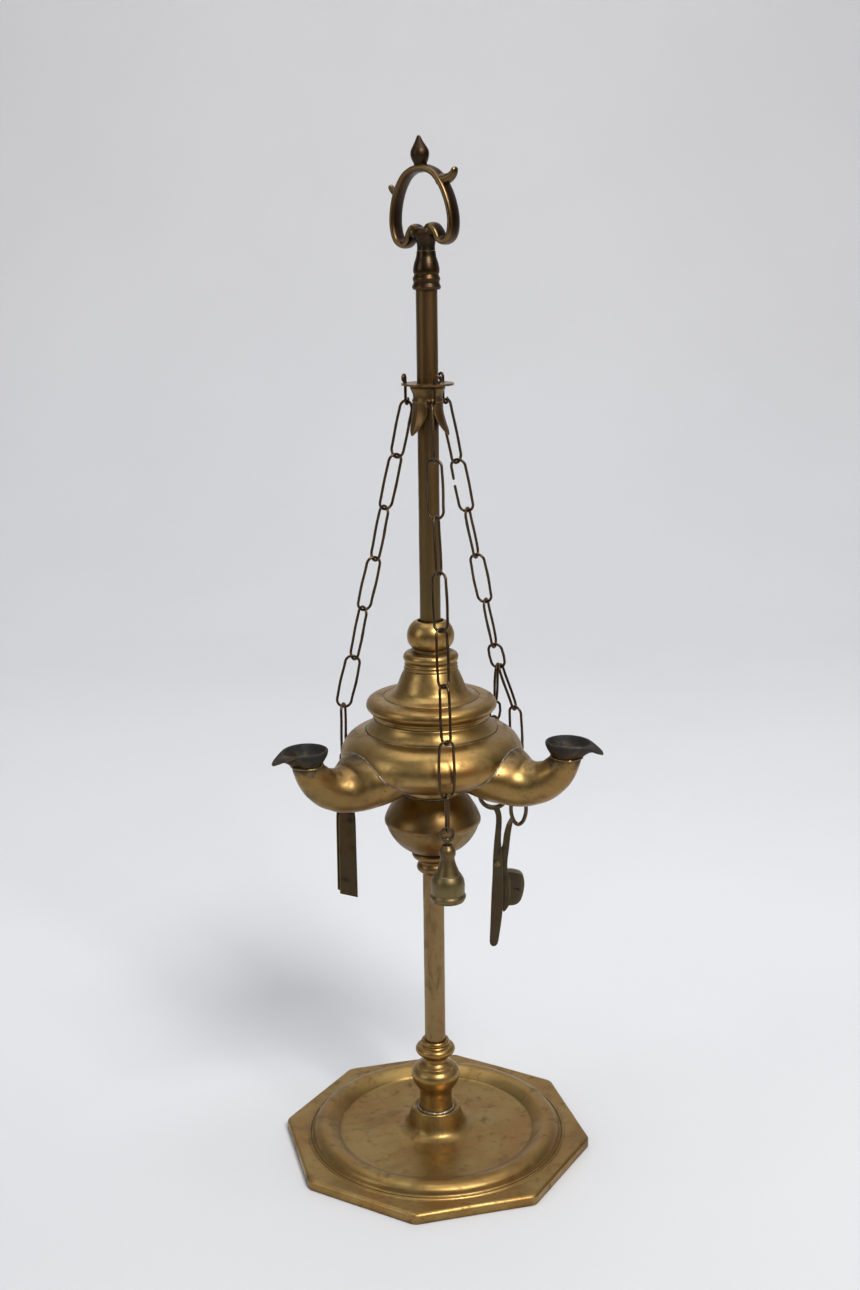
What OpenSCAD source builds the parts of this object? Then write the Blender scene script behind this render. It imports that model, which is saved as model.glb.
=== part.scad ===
// Free-standing brass oil lamp: octagonal foot, pole, oil font with three
// beaked spouts, sliding lid, and three chains that carry the wick tools.
// Millimetres, +Z up, front towards -Y, origin at the centre of the foot on the floor plane.

/* [Foot] */
// Radius of the octagonal foot over its corners
foot_r = 89; // [84:0.5:92]
// Thickness of the octagonal rim
foot_t = 6; // [5:0.5:6]
// Turn of the octagon about the pole, in degrees
foot_turn = -8; // [-22:1:22]

/* [Pole] */
// Radius of the lower pole
lower_pole_r = 5.9; // [5.9:0.05:5.9]
// Radius of the upper pole
upper_pole_r = 5.6; // [5.5:0.05:5.6]

/* [Spouts] */
// Azimuths of the three spouts, in degrees
spout_az = [214, 334, 94];
// Distance of the wick nozzles from the pole
nozzle_r = 79; // [78:0.5:80]
// Height of the nozzle rim
nozzle_z = 252; // [251:0.5:253]
// Radius of the wick bore
wick_r = 6; // [5:0.5:6.2]

/* [Chains] */
// Azimuth of the front chain
front_az = -82; // [-84:1:-80]
// Azimuth of the rear left chain
left_az = 158; // [156:1:160]
// Azimuth of the rear right chain
right_az = 38; // [37:1:39]
// Diameter of the chain wire
wire = 1.5; // [1.2:0.05:1.5]
// Outer width of a chain link
link_w = 9.5; // [9:0.1:10]
// Distance from link to link along the front and left chains
link_pitch = 29; // [28.8:0.1:29.2]
// Distance from the pole at which the hooks hang
hook_r = 11.8; // [11.8:0.1:12]
// Distance from the pole at which the tools hang
hang_r = 53.2; // [53:0.1:54]

/* [Hidden] */
$fn = 48;

brass = [0.55, 0.43, 0.20];
dark_brass = [0.36, 0.27, 0.14];
bronze = [0.22, 0.17, 0.11];
soot = [0.13, 0.12, 0.10];

gap = 0.05;         // assembly gap between fixed pieces
slide_gap = 0.08;   // gap round the upper pole for pieces slipped over it
lower_bore_r = lower_pole_r + gap;
upper_bore_r = upper_pole_r + gap;
slide_bore_r = upper_pole_r + slide_gap;

// ---- points and curves ----
function unit(v) = v / norm(v);
function polar(r, az, z) = [r * cos(az), r * sin(az), z];
function reversed(points) = [for (i = [len(points) - 1 : -1 : 0]) points[i]];

// mirror image of 2D points, in reverse order so that it closes an outline
function mirrored(points, signs = [-1, 1]) =
    reversed([for (p = points) [signs[0] * p[0], signs[1] * p[1]]]);

// Catmull-Rom point between p1 and p2
function spline_point(p0, p1, p2, p3, t) = 0.5 * (2 * p1 + (p2 - p0) * t
    + (2 * p0 - 5 * p1 + 4 * p2 - p3) * t * t
    + (3 * p1 - p0 - 3 * p2 + p3) * t * t * t);

// the points with a spline point added halfway along each span
function curve(points) = let (last = len(points) - 1) concat(
    [for (i = [0 : last - 1]) for (t = [0, 0.5])
        spline_point(points[max(i - 1, 0)], points[i], points[i + 1],
            points[min(i + 2, last)], t)],
    [points[last]]);

// elliptical ring square to a centreline in the XZ plane, at station i;
// the first two columns of the line are x and z
function ring(line, i, half_height, half_width, count, phase = 0) =
    let (
        ahead = line[min(i + 1, len(line) - 1)],
        behind = line[max(i - 1, 0)],
        dir = unit([ahead[0] - behind[0], ahead[1] - behind[1]])
    )
    [for (k = [0 : count - 1])
        let (angle = 360 * k / count + phase, rise = half_height * sin(angle))
        [line[i][0] - dir[1] * rise, -half_width * cos(angle), line[i][1] + dir[0] * rise]];

// ---- shared shapes ----
// turned piece: [radius, z] up the outside, then down the inside
module turned(outer, inner = [], facets = 96)
    rotate_extrude($fn = facets) polygon(concat(outer, inner));

// upright cylinder on the Z axis
module post(z, r, h) translate([0, 0, z]) cylinder(r = r, h = h);

// skin over a row of rings with equal point counts
module loft(rings) {
    n = len(rings[0]);
    last = len(rings) - 1;
    sides = [for (i = [0 : last - 1]) for (j = [0 : n - 1])
        let (k = (j + 1) % n, low = i * n, high = low + n)
        each [[low + j, low + k, high + k], [low + j, high + k, high + j]]];
    start_cap = [for (j = [n - 1 : -1 : 0]) j];
    end_cap = [for (j = [0 : n - 1]) last * n + j];
    polyhedron([for (r = rings) each r], concat(sides, [start_cap], [end_cap]));
}

// closed wire ring in the XZ plane
module wire_ring(r, wire_r) rotate([90, 0, 0])
    rotate_extrude($fn = 64) translate([r, 0]) circle(r = wire_r, $fn = 24);

// bent wire in the XZ plane, from angle start over sweep degrees
module wire_arc(r, start, sweep, wire_r) rotate([90, 0, 0]) rotate([0, 0, start])
    rotate_extrude(angle = sweep, $fn = 48) translate([r, 0]) circle(r = wire_r, $fn = 24);

// long wire ring in the XZ plane: two straight sides and two round ends
module long_ring(bend_r, half_side, wire_r) {
    for (side = [-1, 1])
        translate([side * bend_r, 0, -half_side])
            cylinder(r = wire_r, h = 2 * half_side, $fn = 24);
    translate([0, 0, half_side]) wire_arc(bend_r, 0, 180, wire_r);
    translate([0, 0, -half_side]) wire_arc(bend_r, 180, 180, wire_r);
}

// ---- foot ----
rim_step = 1;          // height of the stepped-in upper edge of the octagon
rim_inset = 1.2;       // how far that edge steps in
rim_overlap = 0.01;
dish_r = 78.5;
dish_centre_z = 20.2;
knop_seat_z = 17;

// upper surface of the foot, from the rim to the centre: [radius, z]
foot_top = concat(
    [[dish_r, foot_t], [74.2, foot_t + 0.05], [74, foot_t + 0.45], [73, foot_t + 0.5],
        [72.8, foot_t + 0.2], [72, foot_t + 0.5]],
    curve([[71.6, 7.4], [70.4, 9.6], [68, 11.3], [65, 12], [62, 11.5], [59, 10],
        [56.6, 8.3], [55.4, 7.5]]),
    [[54.6, 7.2], [40, 7.1], [27, 7.4]],
    curve([[21.6, 8.1], [18.3, 9.5], [16.6, 11.6], [15.6, 14.2], [14.7, 17.4], [13.9, 20.6]]),
    [[13.4, 21.1], [11, dish_centre_z]]);

// hollow underside: [radius, z]
foot_hollow = [[0, -1], [79.5, -1], [79.5, 2.2], [72.6, 2.4], [70, 6.6], [66, 8.4],
    [62, 7.6], [58.6, 4.6], [54, 3.6], [20, 4.4], [14, 6.4], [13.4, 10], [0, 10]];

module base_plate() color(brass) difference() {
    union() {
        rotate([0, 0, foot_turn]) cylinder(r = foot_r, h = foot_t - rim_step, $fn = 8);
        rotate([0, 0, foot_turn])
            post(foot_t - rim_step - rim_overlap, foot_r - rim_inset, rim_step + rim_overlap,
                $fn = 8);
        turned(concat([[0, 1], [dish_r, 1]], foot_top, [[0, dish_centre_z]]));
    }
    post(z = knop_seat_z, r = 9.8, h = 5);
    post(z = -1, r = lower_bore_r, h = 30);
    turned(foot_hollow);
}

// hexagonal nut under the foot
module base_nut() color(dark_brass) difference() {
    post(z = 3.4, r = 10.4, h = 6.55, $fn = 6);
    post(z = 2, r = lower_bore_r, h = 10);
}

foot_knop_z = knop_seat_z + gap;
foot_knop_top = 63;
module foot_knop() color(brass) turned(
    concat(
        [[lower_bore_r, foot_knop_z], [9.7, foot_knop_z], [9.7, 21]],
        curve([[9.3, 24], [9.2, 27.4], [9.3, 30.6], [10.3, 33], [12.6, 36.6], [13.9, 40.6],
            [13.4, 43.8], [11.8, 45.9], [10.6, 46.5]]),
        [[10.3, 47.5]],
        curve([[8.9, 48.3], [7.6, 49.6], [7.1, 51.4], [7.7, 53.2], [9.2, 54.5]]),
        curve([[10.6, 55.1], [11.3, 56.4], [11.1, 58], [10, 59.2], [8.5, 59.6]]),
        curve([[7.9, 60.2], [8.2, 61.3], [7.9, 62.4], [7.4, foot_knop_top]])),
    [[lower_bore_r, foot_knop_top]]);

// ---- pole ----
upper_stem_z = 194;
upper_stem_top = 492;
module lower_stem() color(dark_brass) post(z = 2.4, r = lower_pole_r, h = 191.5);

module upper_stem() color(dark_brass)
    post(z = upper_stem_z, r = upper_pole_r, h = upper_stem_top - upper_stem_z);

// sleeve inside the double bowl, bored for both parts of the pole
module stem_coupling() color(dark_brass) difference() {
    post(z = 183, r = 9, h = 22);
    post(z = 182, r = lower_bore_r, h = 12);
    post(z = 193, r = upper_bore_r, h = 13);
}

// ---- collar and double-bowl knop under the font ----
bowl_z = 179;         // underside of the lower bowl
bowl_joint_z = 195.5; // rim of the lower bowl
knop_top = 213.4;

module stem_collar() color(dark_brass) turned(
    concat(
        [[lower_bore_r, 165.5], [6.6, 165.5]],
        curve([[7, 166], [8.7, 167.4], [9.2, 169], [8.8, 170.6], [8, 171.8]]),
        [[7.9, 173]],
        curve([[8.8, 173.8], [10.9, 175], [11.8, 176.8], [11.4, 178.2], [10.4, bowl_z - gap]])),
    [[lower_bore_r, bowl_z - gap]]);

module knop_lower_bowl() color(brass) turned(
    concat(
        [[lower_bore_r, bowl_z], [10.4, bowl_z]],
        curve([[14.2, 180.2], [18.8, 183.6], [22.4, 187.8], [24.8, 192.2], [25.6, 195.2]]),
        [[25.6, bowl_joint_z]]),
    [[23.4, bowl_joint_z], [22.6, 193], [20.4, 189.2], [17.2, 185.4], [13.4, 182.3],
        [lower_bore_r, 181.4]]);

module knop_upper_bowl() color(brass) turned(
    concat(
        [[23.6, bowl_joint_z + gap], [26.1, bowl_joint_z + gap]],
        curve([[26.6, 196.2], [26.7, 197.6], [26.2, 199.4], [24.4, 203.4], [21.4, 208.2],
            [18.8, 211.8], [17.9, knop_top]]),
        [[15.8, knop_top], [15.4, knop_top - 0.3], [15, knop_top], [upper_bore_r, knop_top]]),
    [[upper_bore_r, 211], [15.6, 210.8], [19.4, 206.8], [22.4, 202.2], [24, 198.6]]);

// ---- oil font ----
font_z = 213.5;
font_top = 257;
sleeve_r = 8.05;
font_bore_r = sleeve_r + gap;

// outside of the font from the bore at the bottom to the neck: [radius, z]
font_outside = concat(
    [[font_bore_r, font_z]],
    curve([[17.3, font_z], [16.9, 214.8], [17.3, 216.8], [19.6, 218.9], [24, 220.1],
        [30, 221.4], [36, 223.2], [41.8, 226], [46.4, 229.4], [49.2, 232.6], [50, 235.6],
        [49.2, 240], [46.4, 244.6], [42.2, 247.8], [37, 249.6]]),
    [[36.1, 249.9], [35.9, 250.7]],
    curve([[35.2, 251], [33.7, 252.6], [32.4, 254.8], [31.9, 256.4]]),
    [[31.5, font_top], [30, font_top]]);

// inside of the font from the neck to the bore: [radius, z]
font_inside = [[30, 254], [31.4, 252.4], [35.2, 249.4], [40.6, 246.8], [44.8, 243.6],
    [47.5, 239.4], [48.3, 235.6], [47.5, 233.4], [45, 230.6], [40.8, 227.8], [35.4, 225.1],
    [29.6, 223.3], [23.6, 222], [18.2, 220.6], [15.6, 218.2], [15.2, 215.4],
    [font_bore_r, 215.4]];

module font_body() color(brass) difference() {
    turned(font_outside, font_inside);
    // oil ports into the spouts
    for (az = spout_az)
        rotate([0, 0, az]) translate([38, 0, 232]) rotate([0, 90, 0]) cylinder(r = 6, h = 16);
}

module font_sleeve() color(brass) difference() {
    post(z = font_z, r = sleeve_r, h = 48.5);
    post(z = font_z - 1, r = slide_bore_r, h = 60);
}

// ---- spouts ----
spout_top = 243.4;     // flat seat of the nozzle
spout_wall = 1.6;
spout_font_gap = 0.07; // clearance to the outside face of the font

// centreline stations: [distance from the pole, z, half width, half height]
spout_line = curve([
    [20, 234, 24, 12.6], [31, 232.4, 26, 14.8], [44, 228.4, 22, 15], [54, 225.8, 16.5, 13],
    [62.5, 226.8, 12.4, 11.5], [69.5, 230.2, 10.3, 10.2], [75, 235.6, 8.9, 9],
    [nozzle_r - 1.1, 241, 8.1, 8.2], [nozzle_r - 0.1, 246.5, 8, 8], [nozzle_r, 250, 8, 8]]);

function spout_ring(i, wall, count) =
    ring(spout_line, i, spout_line[i][3] - wall, spout_line[i][2] - wall, count);

module spout() difference() {
    last = len(spout_line) - 1;
    loft([for (i = [0 : last]) spout_ring(i, 0, 24)]);
    // everything inside the outside face of the font
    rotate_extrude($fn = 96) offset(delta = spout_font_gap)
        polygon(concat(font_outside, [[font_bore_r, font_top]]));
    post(z = 200, r = 8.2, h = 60);
    translate([60, -20, spout_top]) cube([40, 40, 20]);
    // oil way
    loft([for (i = [4 : 2 : last]) spout_ring(i, spout_wall, 12)]);
}

module spouts() color(brass) for (az = spout_az) rotate([0, 0, az]) spout();

// ---- nozzles ----
nozzle_rim = 252;   // rim height at which the outlines below are drawn

// outside of the cup: [radius, z]
cup_outline = concat(
    [[0, spout_top + gap], [8, spout_top + gap]],
    curve([[8.2, 244.2], [9.2, 245.6], [10.5, 247.8], [11.2, 249.6], [11.45, 251.2]]),
    [[10.9, nozzle_rim], [0, nozzle_rim]]);

// basin in the cup: [radius, z]
basin_outline = [[0, 260], [10, 260], [10, 251.8], [9.3, 250.8], [8.7, 249], [7.6, 247.4],
    [0, 247]];

// beak seen from above, -y edge first: [x, y]
beak_edge = curve([[4, -10.9], [8, -9.1], [12, -6.5], [15.4, -4.2], [18.2, -2.6],
    [19.8, -1.4]]);
beak_plan = concat([[0, -11.4]], beak_edge, [[20.3, 0]], mirrored(beak_edge, [1, -1]),
    [[0, 11.4]]);

// beak seen from the side: [x, z]
beak_profile = concat(
    [[0, nozzle_rim], [8, nozzle_rim]],
    curve([[11, 251.9], [14, 251.3], [17, 250], [19.3, 248.4], [20.4, 246.9]]),
    [[19.9, 246.3]],
    curve([[18.2, 246.7], [15.8, 247.6], [13, 247.6], [10, 245.9], [7, 244.1]]),
    [[0, 243.5]]);

// beaked wick nozzle: cup with a drooping beak towards +x
module nozzle() difference() {
    union() {
        turned(cup_outline, facets = 64);
        intersection() {
            linear_extrude(height = 300) polygon(beak_plan);
            rotate([90, 0, 0]) translate([0, 0, -20])
                linear_extrude(height = 40) polygon(beak_profile);
        }
    }
    turned(basin_outline, facets = 64);
    post(z = 240, r = wick_r, h = 20);
    // gutter along the beak
    translate([6, 0, 254.2]) rotate([0, 106, 0]) cylinder(r = 3, h = 20, $fn = 32);
}

module nozzles() color(soot) for (az = spout_az)
    rotate([0, 0, az]) translate([nozzle_r, 0, nozzle_z - nozzle_rim]) nozzle();

// ---- lid ----
lid_knob_z = 295;
lid_knob_top = 310.2;
lid_top = lid_knob_z - gap;
lid_bore_r = upper_pole_r + 0.1;
lid_skirt_r = 29.5;     // skirt that drops into the neck of the font
lid_skirt_in_r = 28.2;

module lid() color(brass) turned(
    concat(
        [[lid_skirt_in_r, 250.5], [lid_skirt_r, 250.5], [lid_skirt_r, 257.1], [31.5, 257.1],
            [31.7, 258.5], [32.4, 258.9], [32.6, 260], [33.4, 260.4]],
        curve([[34.3, 261.1], [35.4, 262.6], [35.5, 264.2], [34.4, 266.4], [31.4, 267.9],
            [26.4, 268.3]]),
        [[26.1, 268], [25.8, 268.4]],
        curve([[22.4, 269.8], [19.7, 272.1], [18.2, 275], [17, 278], [15.7, 281],
            [14.7, 283]]),
        curve([[14.3, 283.5], [14.8, 284.3], [14.2, 285.1]]),
        curve([[14.1, 285.5], [14.5, 286.3], [13.9, 287.1]]),
        curve([[13.8, 287.6], [14.8, 289], [14.9, 290.8], [13.8, 292.4], [11.6, 293.2]]),
        [[9.5, 293.5], [9.4, lid_top]]),
    [[lid_bore_r, lid_top], [lid_bore_r, 291.4], [12.4, 291], [12.8, 287], [13.3, 282.6],
        [14.9, 278.4], [16.4, 274.2], [18.4, 270.6], [21.4, 268.2], [25, 266.4],
        [lid_skirt_in_r, 263]]);

module lid_knob() color(brass) turned(
    concat(
        [[6.9, lid_knob_z], [9.4, lid_knob_z]],
        curve([[10.4, 295.6], [12.2, 298.2], [12.8, 301.4], [12.4, 304.6], [11, 307.6],
            [9, 309.6], [7.8, lid_knob_top]])),
    [[6.9, lid_knob_top]]);

// ---- leaf collar and chain plate ----
plate_z = 435.7;
plate_t = 1;
curl_r = 1.9;      // centreline radius of a hook's lower curl
leaf_t = 1;
leaf_az = [-28, 99, 226];
leaf_tip_z = 410;
leaf_inside = curve([[7.0, 427], [7.2, 422], [8.6, 416], [11.2, 410.2]]); // [radius, z]

// -x edge of a leaf seen from the front: [x, height over leaf_tip_z]
leaf_edge = curve([[-5, 17.5], [-5.4, 13], [-4.6, 8], [-2.6, 3], [-0.5, 0.3]]);

module leaf() intersection() {
    turned(leaf_inside, reversed([for (p = leaf_inside) p + [leaf_t, 0]]));
    translate([0, 0, leaf_tip_z]) rotate([90, 0, 90]) linear_extrude(height = 20)
        polygon(concat(leaf_edge, mirrored(leaf_edge)));
}

module leaf_collar() color(dark_brass) union() {
    turned(
        concat(
            [[slide_bore_r, 425.8], [6.9, 425.8]],
            curve([[7.6, 426.4], [8.2, 427.5], [7.9, 428.6]]),
            curve([[7.7, 429.2], [7.8, 430.6], [8.3, 432.2], [9.0, 433.6]]),
            [[9.2, 434], [9.2, 435.6]]),
        [[slide_bore_r, 435.6]]);
    for (az = leaf_az) rotate([0, 0, az]) leaf();
}

module chain_plate() color(dark_brass) difference() {
    post(z = plate_z, r = 13.8, h = plate_t);
    post(z = plate_z - 1, r = slide_bore_r, h = 3);
    // holes for the hook shanks
    for (az = [front_az, left_az, right_az])
        rotate([0, 0, az]) translate([hook_r, curl_r, plate_z - 1]) cylinder(r = 1.15, h = 3);
}

// ---- hooks ----
chain_wire_r = wire / 2;
hook_z = 425.6;    // wire centre at the bottom of the hook
top_curl_r = 1.7;

// S-shaped hook: lower curl carries the chain, upper curl rests on the plate
module hook(az) color(bronze)
    rotate([0, 0, az]) translate([hook_r, 0, 0]) rotate([0, 0, 90]) {
        top = plate_z + plate_t + 0.1 + chain_wire_r + top_curl_r;
        low = hook_z + curl_r;
        translate([curl_r, 0, low]) cylinder(r = chain_wire_r, h = top - low, $fn = 24);
        translate([curl_r + top_curl_r, 0, top]) mirror([1, 0, 0])
            wire_arc(top_curl_r, 0, 260, chain_wire_r);
        translate([0, 0, low]) mirror([0, 0, 1]) wire_arc(curl_r, 0, 210, chain_wire_r);
    }

module hook_front() hook(front_az);
module hook_left() hook(left_az);
module hook_right() hook(right_az);

// ---- chains: each joint is the wire centre where one link carries the next ----
chain_play = 0.15;   // play between two links
slant_links = 6;     // links that slant outwards; those below hang plumb
chain_tilt = asin((hang_r - hook_r) / (slant_links * link_pitch));
end_link_w = 7.5;    // width of the last link of the front and left chains

// point at a distance down the slant from the hook
function along(az, distance) = polar(hook_r + distance * sin(chain_tilt), az,
    hook_z - distance * cos(chain_tilt));
function sum_first(values, n) = n <= 0 ? 0 : values[n - 1] + sum_first(values, n - 1);
function chain_joints(az, last_pitch) =
    let (slant = [for (k = [0 : slant_links]) along(az, k * link_pitch)])
    concat(slant, [for (drop = [link_pitch, link_pitch + last_pitch])
        slant[slant_links] - [0, 0, drop]]);

front_joints = chain_joints(front_az, 18.6);
left_joints = chain_joints(left_az, 16.6);
right_pitch = [33, 27.8, 26.8, 26.8, 27.3, 13];
right_joints = [for (k = [0 : len(right_pitch)]) along(right_az, sum_first(right_pitch, k))];

// turn of each link's plane from the radial plane
front_turn = [for (k = [0 : 7]) -3 + 78 * k];
left_turn = [-23, 57, -33, 50, -35, 25, 98, 160];
right_turn = [12, 122, 32, 122, 32, 122];

// the right chain forks below its short sixth link, within that link's plane
fork_dir = polar(1, right_az + right_turn[5], 0);
fork_offset = 1.15 * fork_dir;
fork_rise = [0, 0, 0.3];
branch_a = [right_joints[6] + fork_offset + fork_rise,
    [36.5, 38.8, 251.5], [36.2, 38.9, 242.5], [35.3, 35, 203.8]];
branch_b = [right_joints[6] - fork_offset + fork_rise,
    [47.3, 27.6, 251.5], [48.6, 31, 224.6], [49.9, 35, 202.6]];

// link k of a chain, between joints k - 1 and k; its plane holds azimuth az
module link(joints, k, az, width = link_w, play = chain_play) color(bronze) {
    upper = joints[k - 1];
    lower = joints[k];
    up = unit(upper - lower);
    top = upper + (wire + play) * up;
    level = polar(1, az, 0);
    across = unit(level - (level * up) * up);
    normal = cross(up, across);
    centre = (top + lower) / 2;
    half_length = round(norm(top - lower) * 500) / 1000;
    bend_r = (width - wire) / 2;
    multmatrix([
        [across[0], normal[0], up[0], centre[0]],
        [across[1], normal[1], up[1], centre[1]],
        [across[2], normal[2], up[2], centre[2]],
        [0, 0, 0, 1]
    ]) long_ring(bend_r, half_length - bend_r, chain_wire_r);
}

module front_link(k)
    link(front_joints, k, front_az + front_turn[k - 1], k == 8 ? end_link_w : link_w);
module left_link(k)
    link(left_joints, k, left_az + left_turn[k - 1],
        k == 8 ? end_link_w : k == 1 ? 10.5 : link_w);
module right_link(k)
    link(right_joints, k, right_az + right_turn[k - 1], play = k == 1 ? 0.35 : chain_play);

module link_front_1() front_link(1);
module link_front_2() front_link(2);
module link_front_3() front_link(3);
module link_front_4() front_link(4);
module link_front_5() front_link(5);
module link_front_6() front_link(6);
module link_front_7() front_link(7);
module link_front_8() front_link(8);
module link_left_1() left_link(1);
module link_left_2() left_link(2);
module link_left_3() left_link(3);
module link_left_4() left_link(4);
module link_left_5() left_link(5);
module link_left_6() left_link(6);
module link_left_7() left_link(7);
module link_left_8() left_link(8);
module link_right_1() right_link(1);
// mended link with an open joint in one side; it lies in the plane of the fork
module link_right_2() difference() {
    right_link(2);
    translate((right_joints[1] + right_joints[2]) / 2 - (link_w - wire) / 2 * fork_dir)
        cube([5, 5, 1.6], center = true);
}
module link_right_3() right_link(3);
module link_right_4() right_link(4);
module link_right_5() right_link(5);
module link_right_6() right_link(6);
module link_right_7a() link(branch_a, 1, 75, 8);
module link_right_8a() link(branch_a, 2, 0, 7);
module link_right_9a() link(branch_a, 3, 122);
module link_right_7b() link(branch_b, 1, 70, 8);
module link_right_8b() link(branch_b, 2, 140);
module link_right_9b() link(branch_b, 3, 65, 8);

// ---- snuffer, on the front chain ----
snuffer_at = [front_joints[8][0], front_joints[8][1], 0];
snuffer_top = front_joints[8][2] + wire + chain_play;
snuffer_loop_r = 3.35;
snuffer_tail_r = 1.2;
snuffer_tail_z = 195;

module snuffer_loop() color(bronze) translate(snuffer_at) rotate([0, 0, front_az + 90]) {
    translate([0, 0, snuffer_top - snuffer_loop_r]) wire_ring(snuffer_loop_r, 0.84);
    post(z = snuffer_tail_z, r = snuffer_tail_r,
        h = snuffer_top - 2 * snuffer_loop_r - snuffer_tail_z, $fn = 24);
}

module snuffer_bell() color(brass) translate(snuffer_at) difference() {
    turned(
        concat(
            [[7.8, 170.7], [8.7, 170.7], [9, 171.6]],
            curve([[9.5, 172.3], [9.6, 173.4], [8.9, 174.5]]),
            curve([[8.9, 176.6], [9, 179.6], [8.5, 182.6], [7.1, 185.2]]),
            [[6.7, 185.4], [6.3, 186]],
            curve([[5.7, 187.6], [4.5, 190.8], [3.8, 193.4], [3.75, 195]]),
            curve([[4.2, 196], [4.4, 197.3], [4, 199.2], [3, 200.8]]),
            [[2.6, 201.6], [0, 201.6]]),
        [[0, 187.6], [3.6, 186], [6.2, 183], [7.5, 179], [7.8, 174]]);
    // socket of the loop's tail
    post(z = snuffer_tail_z - 0.1, r = snuffer_tail_r + 0.04, h = 10, $fn = 24);
}

// ---- tweezers, on the left chain ----
tweezer_ring_r = 4.4;
tweezer_ring_z = left_joints[8][2] + wire + chain_play - tweezer_ring_r;
bend_z = tweezer_ring_z - tweezer_ring_r - 0.45;  // centre of the bend that joins the blades
bend_r = 2.3;
bend_half_w = 2;
strip_t = 0.9;

// +x edge of a blade from the bend downwards: [x, z]
strip_edge = curve([[2.2, -3], [4.0, -7.5], [5.0, -12], [5.2, -30]]);

module at_tweezers(z)
    translate([left_joints[8][0], left_joints[8][1], z]) rotate([0, 0, left_az + 42]) children();

// flat strip, widening from the bend to the oblique tip; lengths of its +x and -x edges
module tweezer_strip(plus_length, minus_length)
    rotate([90, 0, 0]) linear_extrude(height = strip_t, center = true)
        polygon(concat([[bend_half_w, 0]], strip_edge,
            [[5.4, -plus_length], [-5.0, -minus_length]],
            mirrored(strip_edge), [[-bend_half_w, 0]]));

module tweezer_ring() color(bronze)
    at_tweezers(tweezer_ring_z) wire_ring(tweezer_ring_r, chain_wire_r);

module tweezer_rear_blade() color(bronze) at_tweezers(bend_z) {
    translate([0, -bend_r, 0]) tweezer_strip(56.4, 59.4);
    rotate([90, 0, 90]) rotate_extrude(angle = 180, $fn = 48)
        translate([bend_r - strip_t / 2, -bend_half_w]) square([strip_t, 2 * bend_half_w]);
}

module tweezer_front_blade() color(bronze) at_tweezers(bend_z - gap)
    translate([0, bend_r, 0]) tweezer_strip(57.0, 61.0);

// ---- wick trimmer: two levers on a pivot, one with a snuff box ----
trimmer_y = 35;           // plane between the two levers
lever_t = 1.65;
pivot_at = [37.3, 156.2]; // [x, z]
pin_r = 1.2;
pin_half = 2;
pin_head_t = 0.6;
pin_head_y = lever_t + 2 * gap;  // from the middle plane to a head
eye_wire_r = 1.15;

// outlines in the lever plane: [x, z]
long_lever = concat(
    curve([[34.6, 191], [36.4, 186.6], [36.6, 181], [35.6, 170], [34.9, 160], [34.6, 150],
        [33.9, 136], [33.3, 120], [32.8, 108]]),
    [[33.1, 105.6], [34.2, 104.4], [36.2, 104.4], [37.5, 105.6]],
    curve([[38, 108], [39.2, 116], [40.4, 126], [40.9, 137], [40.9, 148], [40.4, 160],
        [39.6, 170], [40, 181], [39.8, 186.6], [38.4, 191.4]]));
box_lever = concat(
    curve([[45.2, 184], [42.9, 179.6], [41.3, 173.4], [40.2, 166], [36.6, 160.2],
        [35.2, 157], [36.4, 153.4]]),
    [[40, 148], [40.5, 138], [40.6, 126.2], [41.2, 125.2], [42.6, 126.6], [44.4, 129.6]],
    curve([[44.4, 138], [43.4, 152], [43.5, 158], [44.3, 164.6], [45.2, 173.4],
        [46.4, 180.6], [47.4, 182.4]]));
box_outside = [[42.6, 129.1], [47.6, 129.3], [49.9, 130.6], [51.7, 133.4], [52.9, 138],
    [53.4, 143], [52.8, 146.6], [50.9, 149], [47.6, 150.1], [42.6, 150.4]];
box_inside = [[45.4, 130.3], [47.4, 130.4], [49.2, 131.5], [50.7, 133.9], [51.8, 138.2],
    [52.3, 142.9], [51.8, 146], [50.3, 148], [47.4, 149], [45.4, 149.2]];

// outline in the XZ plane, given a thickness from y towards +y
module slab(outline, y, thickness) translate([0, y + thickness, 0]) rotate([90, 0, 0])
    linear_extrude(height = thickness) polygon(outline);

// cylinder on the pivot axis, from y towards +y
module pin(y, r, h)
    translate([pivot_at[0], y, pivot_at[1]]) rotate([-90, 0, 0]) cylinder(r = r, h = h, $fn = 32);

module pivot_hole() pin(trimmer_y - 5, pin_r + gap, 10);

module trimmer_long_blade() color(dark_brass) difference() {
    union() {
        translate([35.3, trimmer_y, 198.4]) wire_ring(8, eye_wire_r);
        slab(long_lever, trimmer_y - gap - lever_t, lever_t);
    }
    pivot_hole();
}

module trimmer_box_blade() color(dark_brass) difference() {
    union() {
        translate([49.7, trimmer_y + 0.9, 188.3]) long_ring(4.6, 4, eye_wire_r);
        slab(box_lever, trimmer_y + gap, lever_t);
        // snuff box: tray on the lever, open to the rear
        difference() {
            slab(box_outside, trimmer_y + gap, 6.5);
            slab(box_inside, trimmer_y + 1.3, 10);
        }
    }
    pivot_hole();
}

module trimmer_pivot() color(brass) {
    pin(trimmer_y - pin_half, pin_r, 2 * pin_half);
    pin(trimmer_y - pin_head_y - pin_head_t, 1.9, pin_head_t);
    pin(trimmer_y + pin_head_y, 1.9, pin_head_t);
}

// ---- handle ----
loop_az = -35;
loop_lean = 4;        // lean of the loop and finial within the plane of the loop
lean_z = 505;         // height about which they lean
socket_top = 503.4;
tenon_r = 2.5;
finial_seat_z = 545.4;
finial_pin_r = 1;

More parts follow.
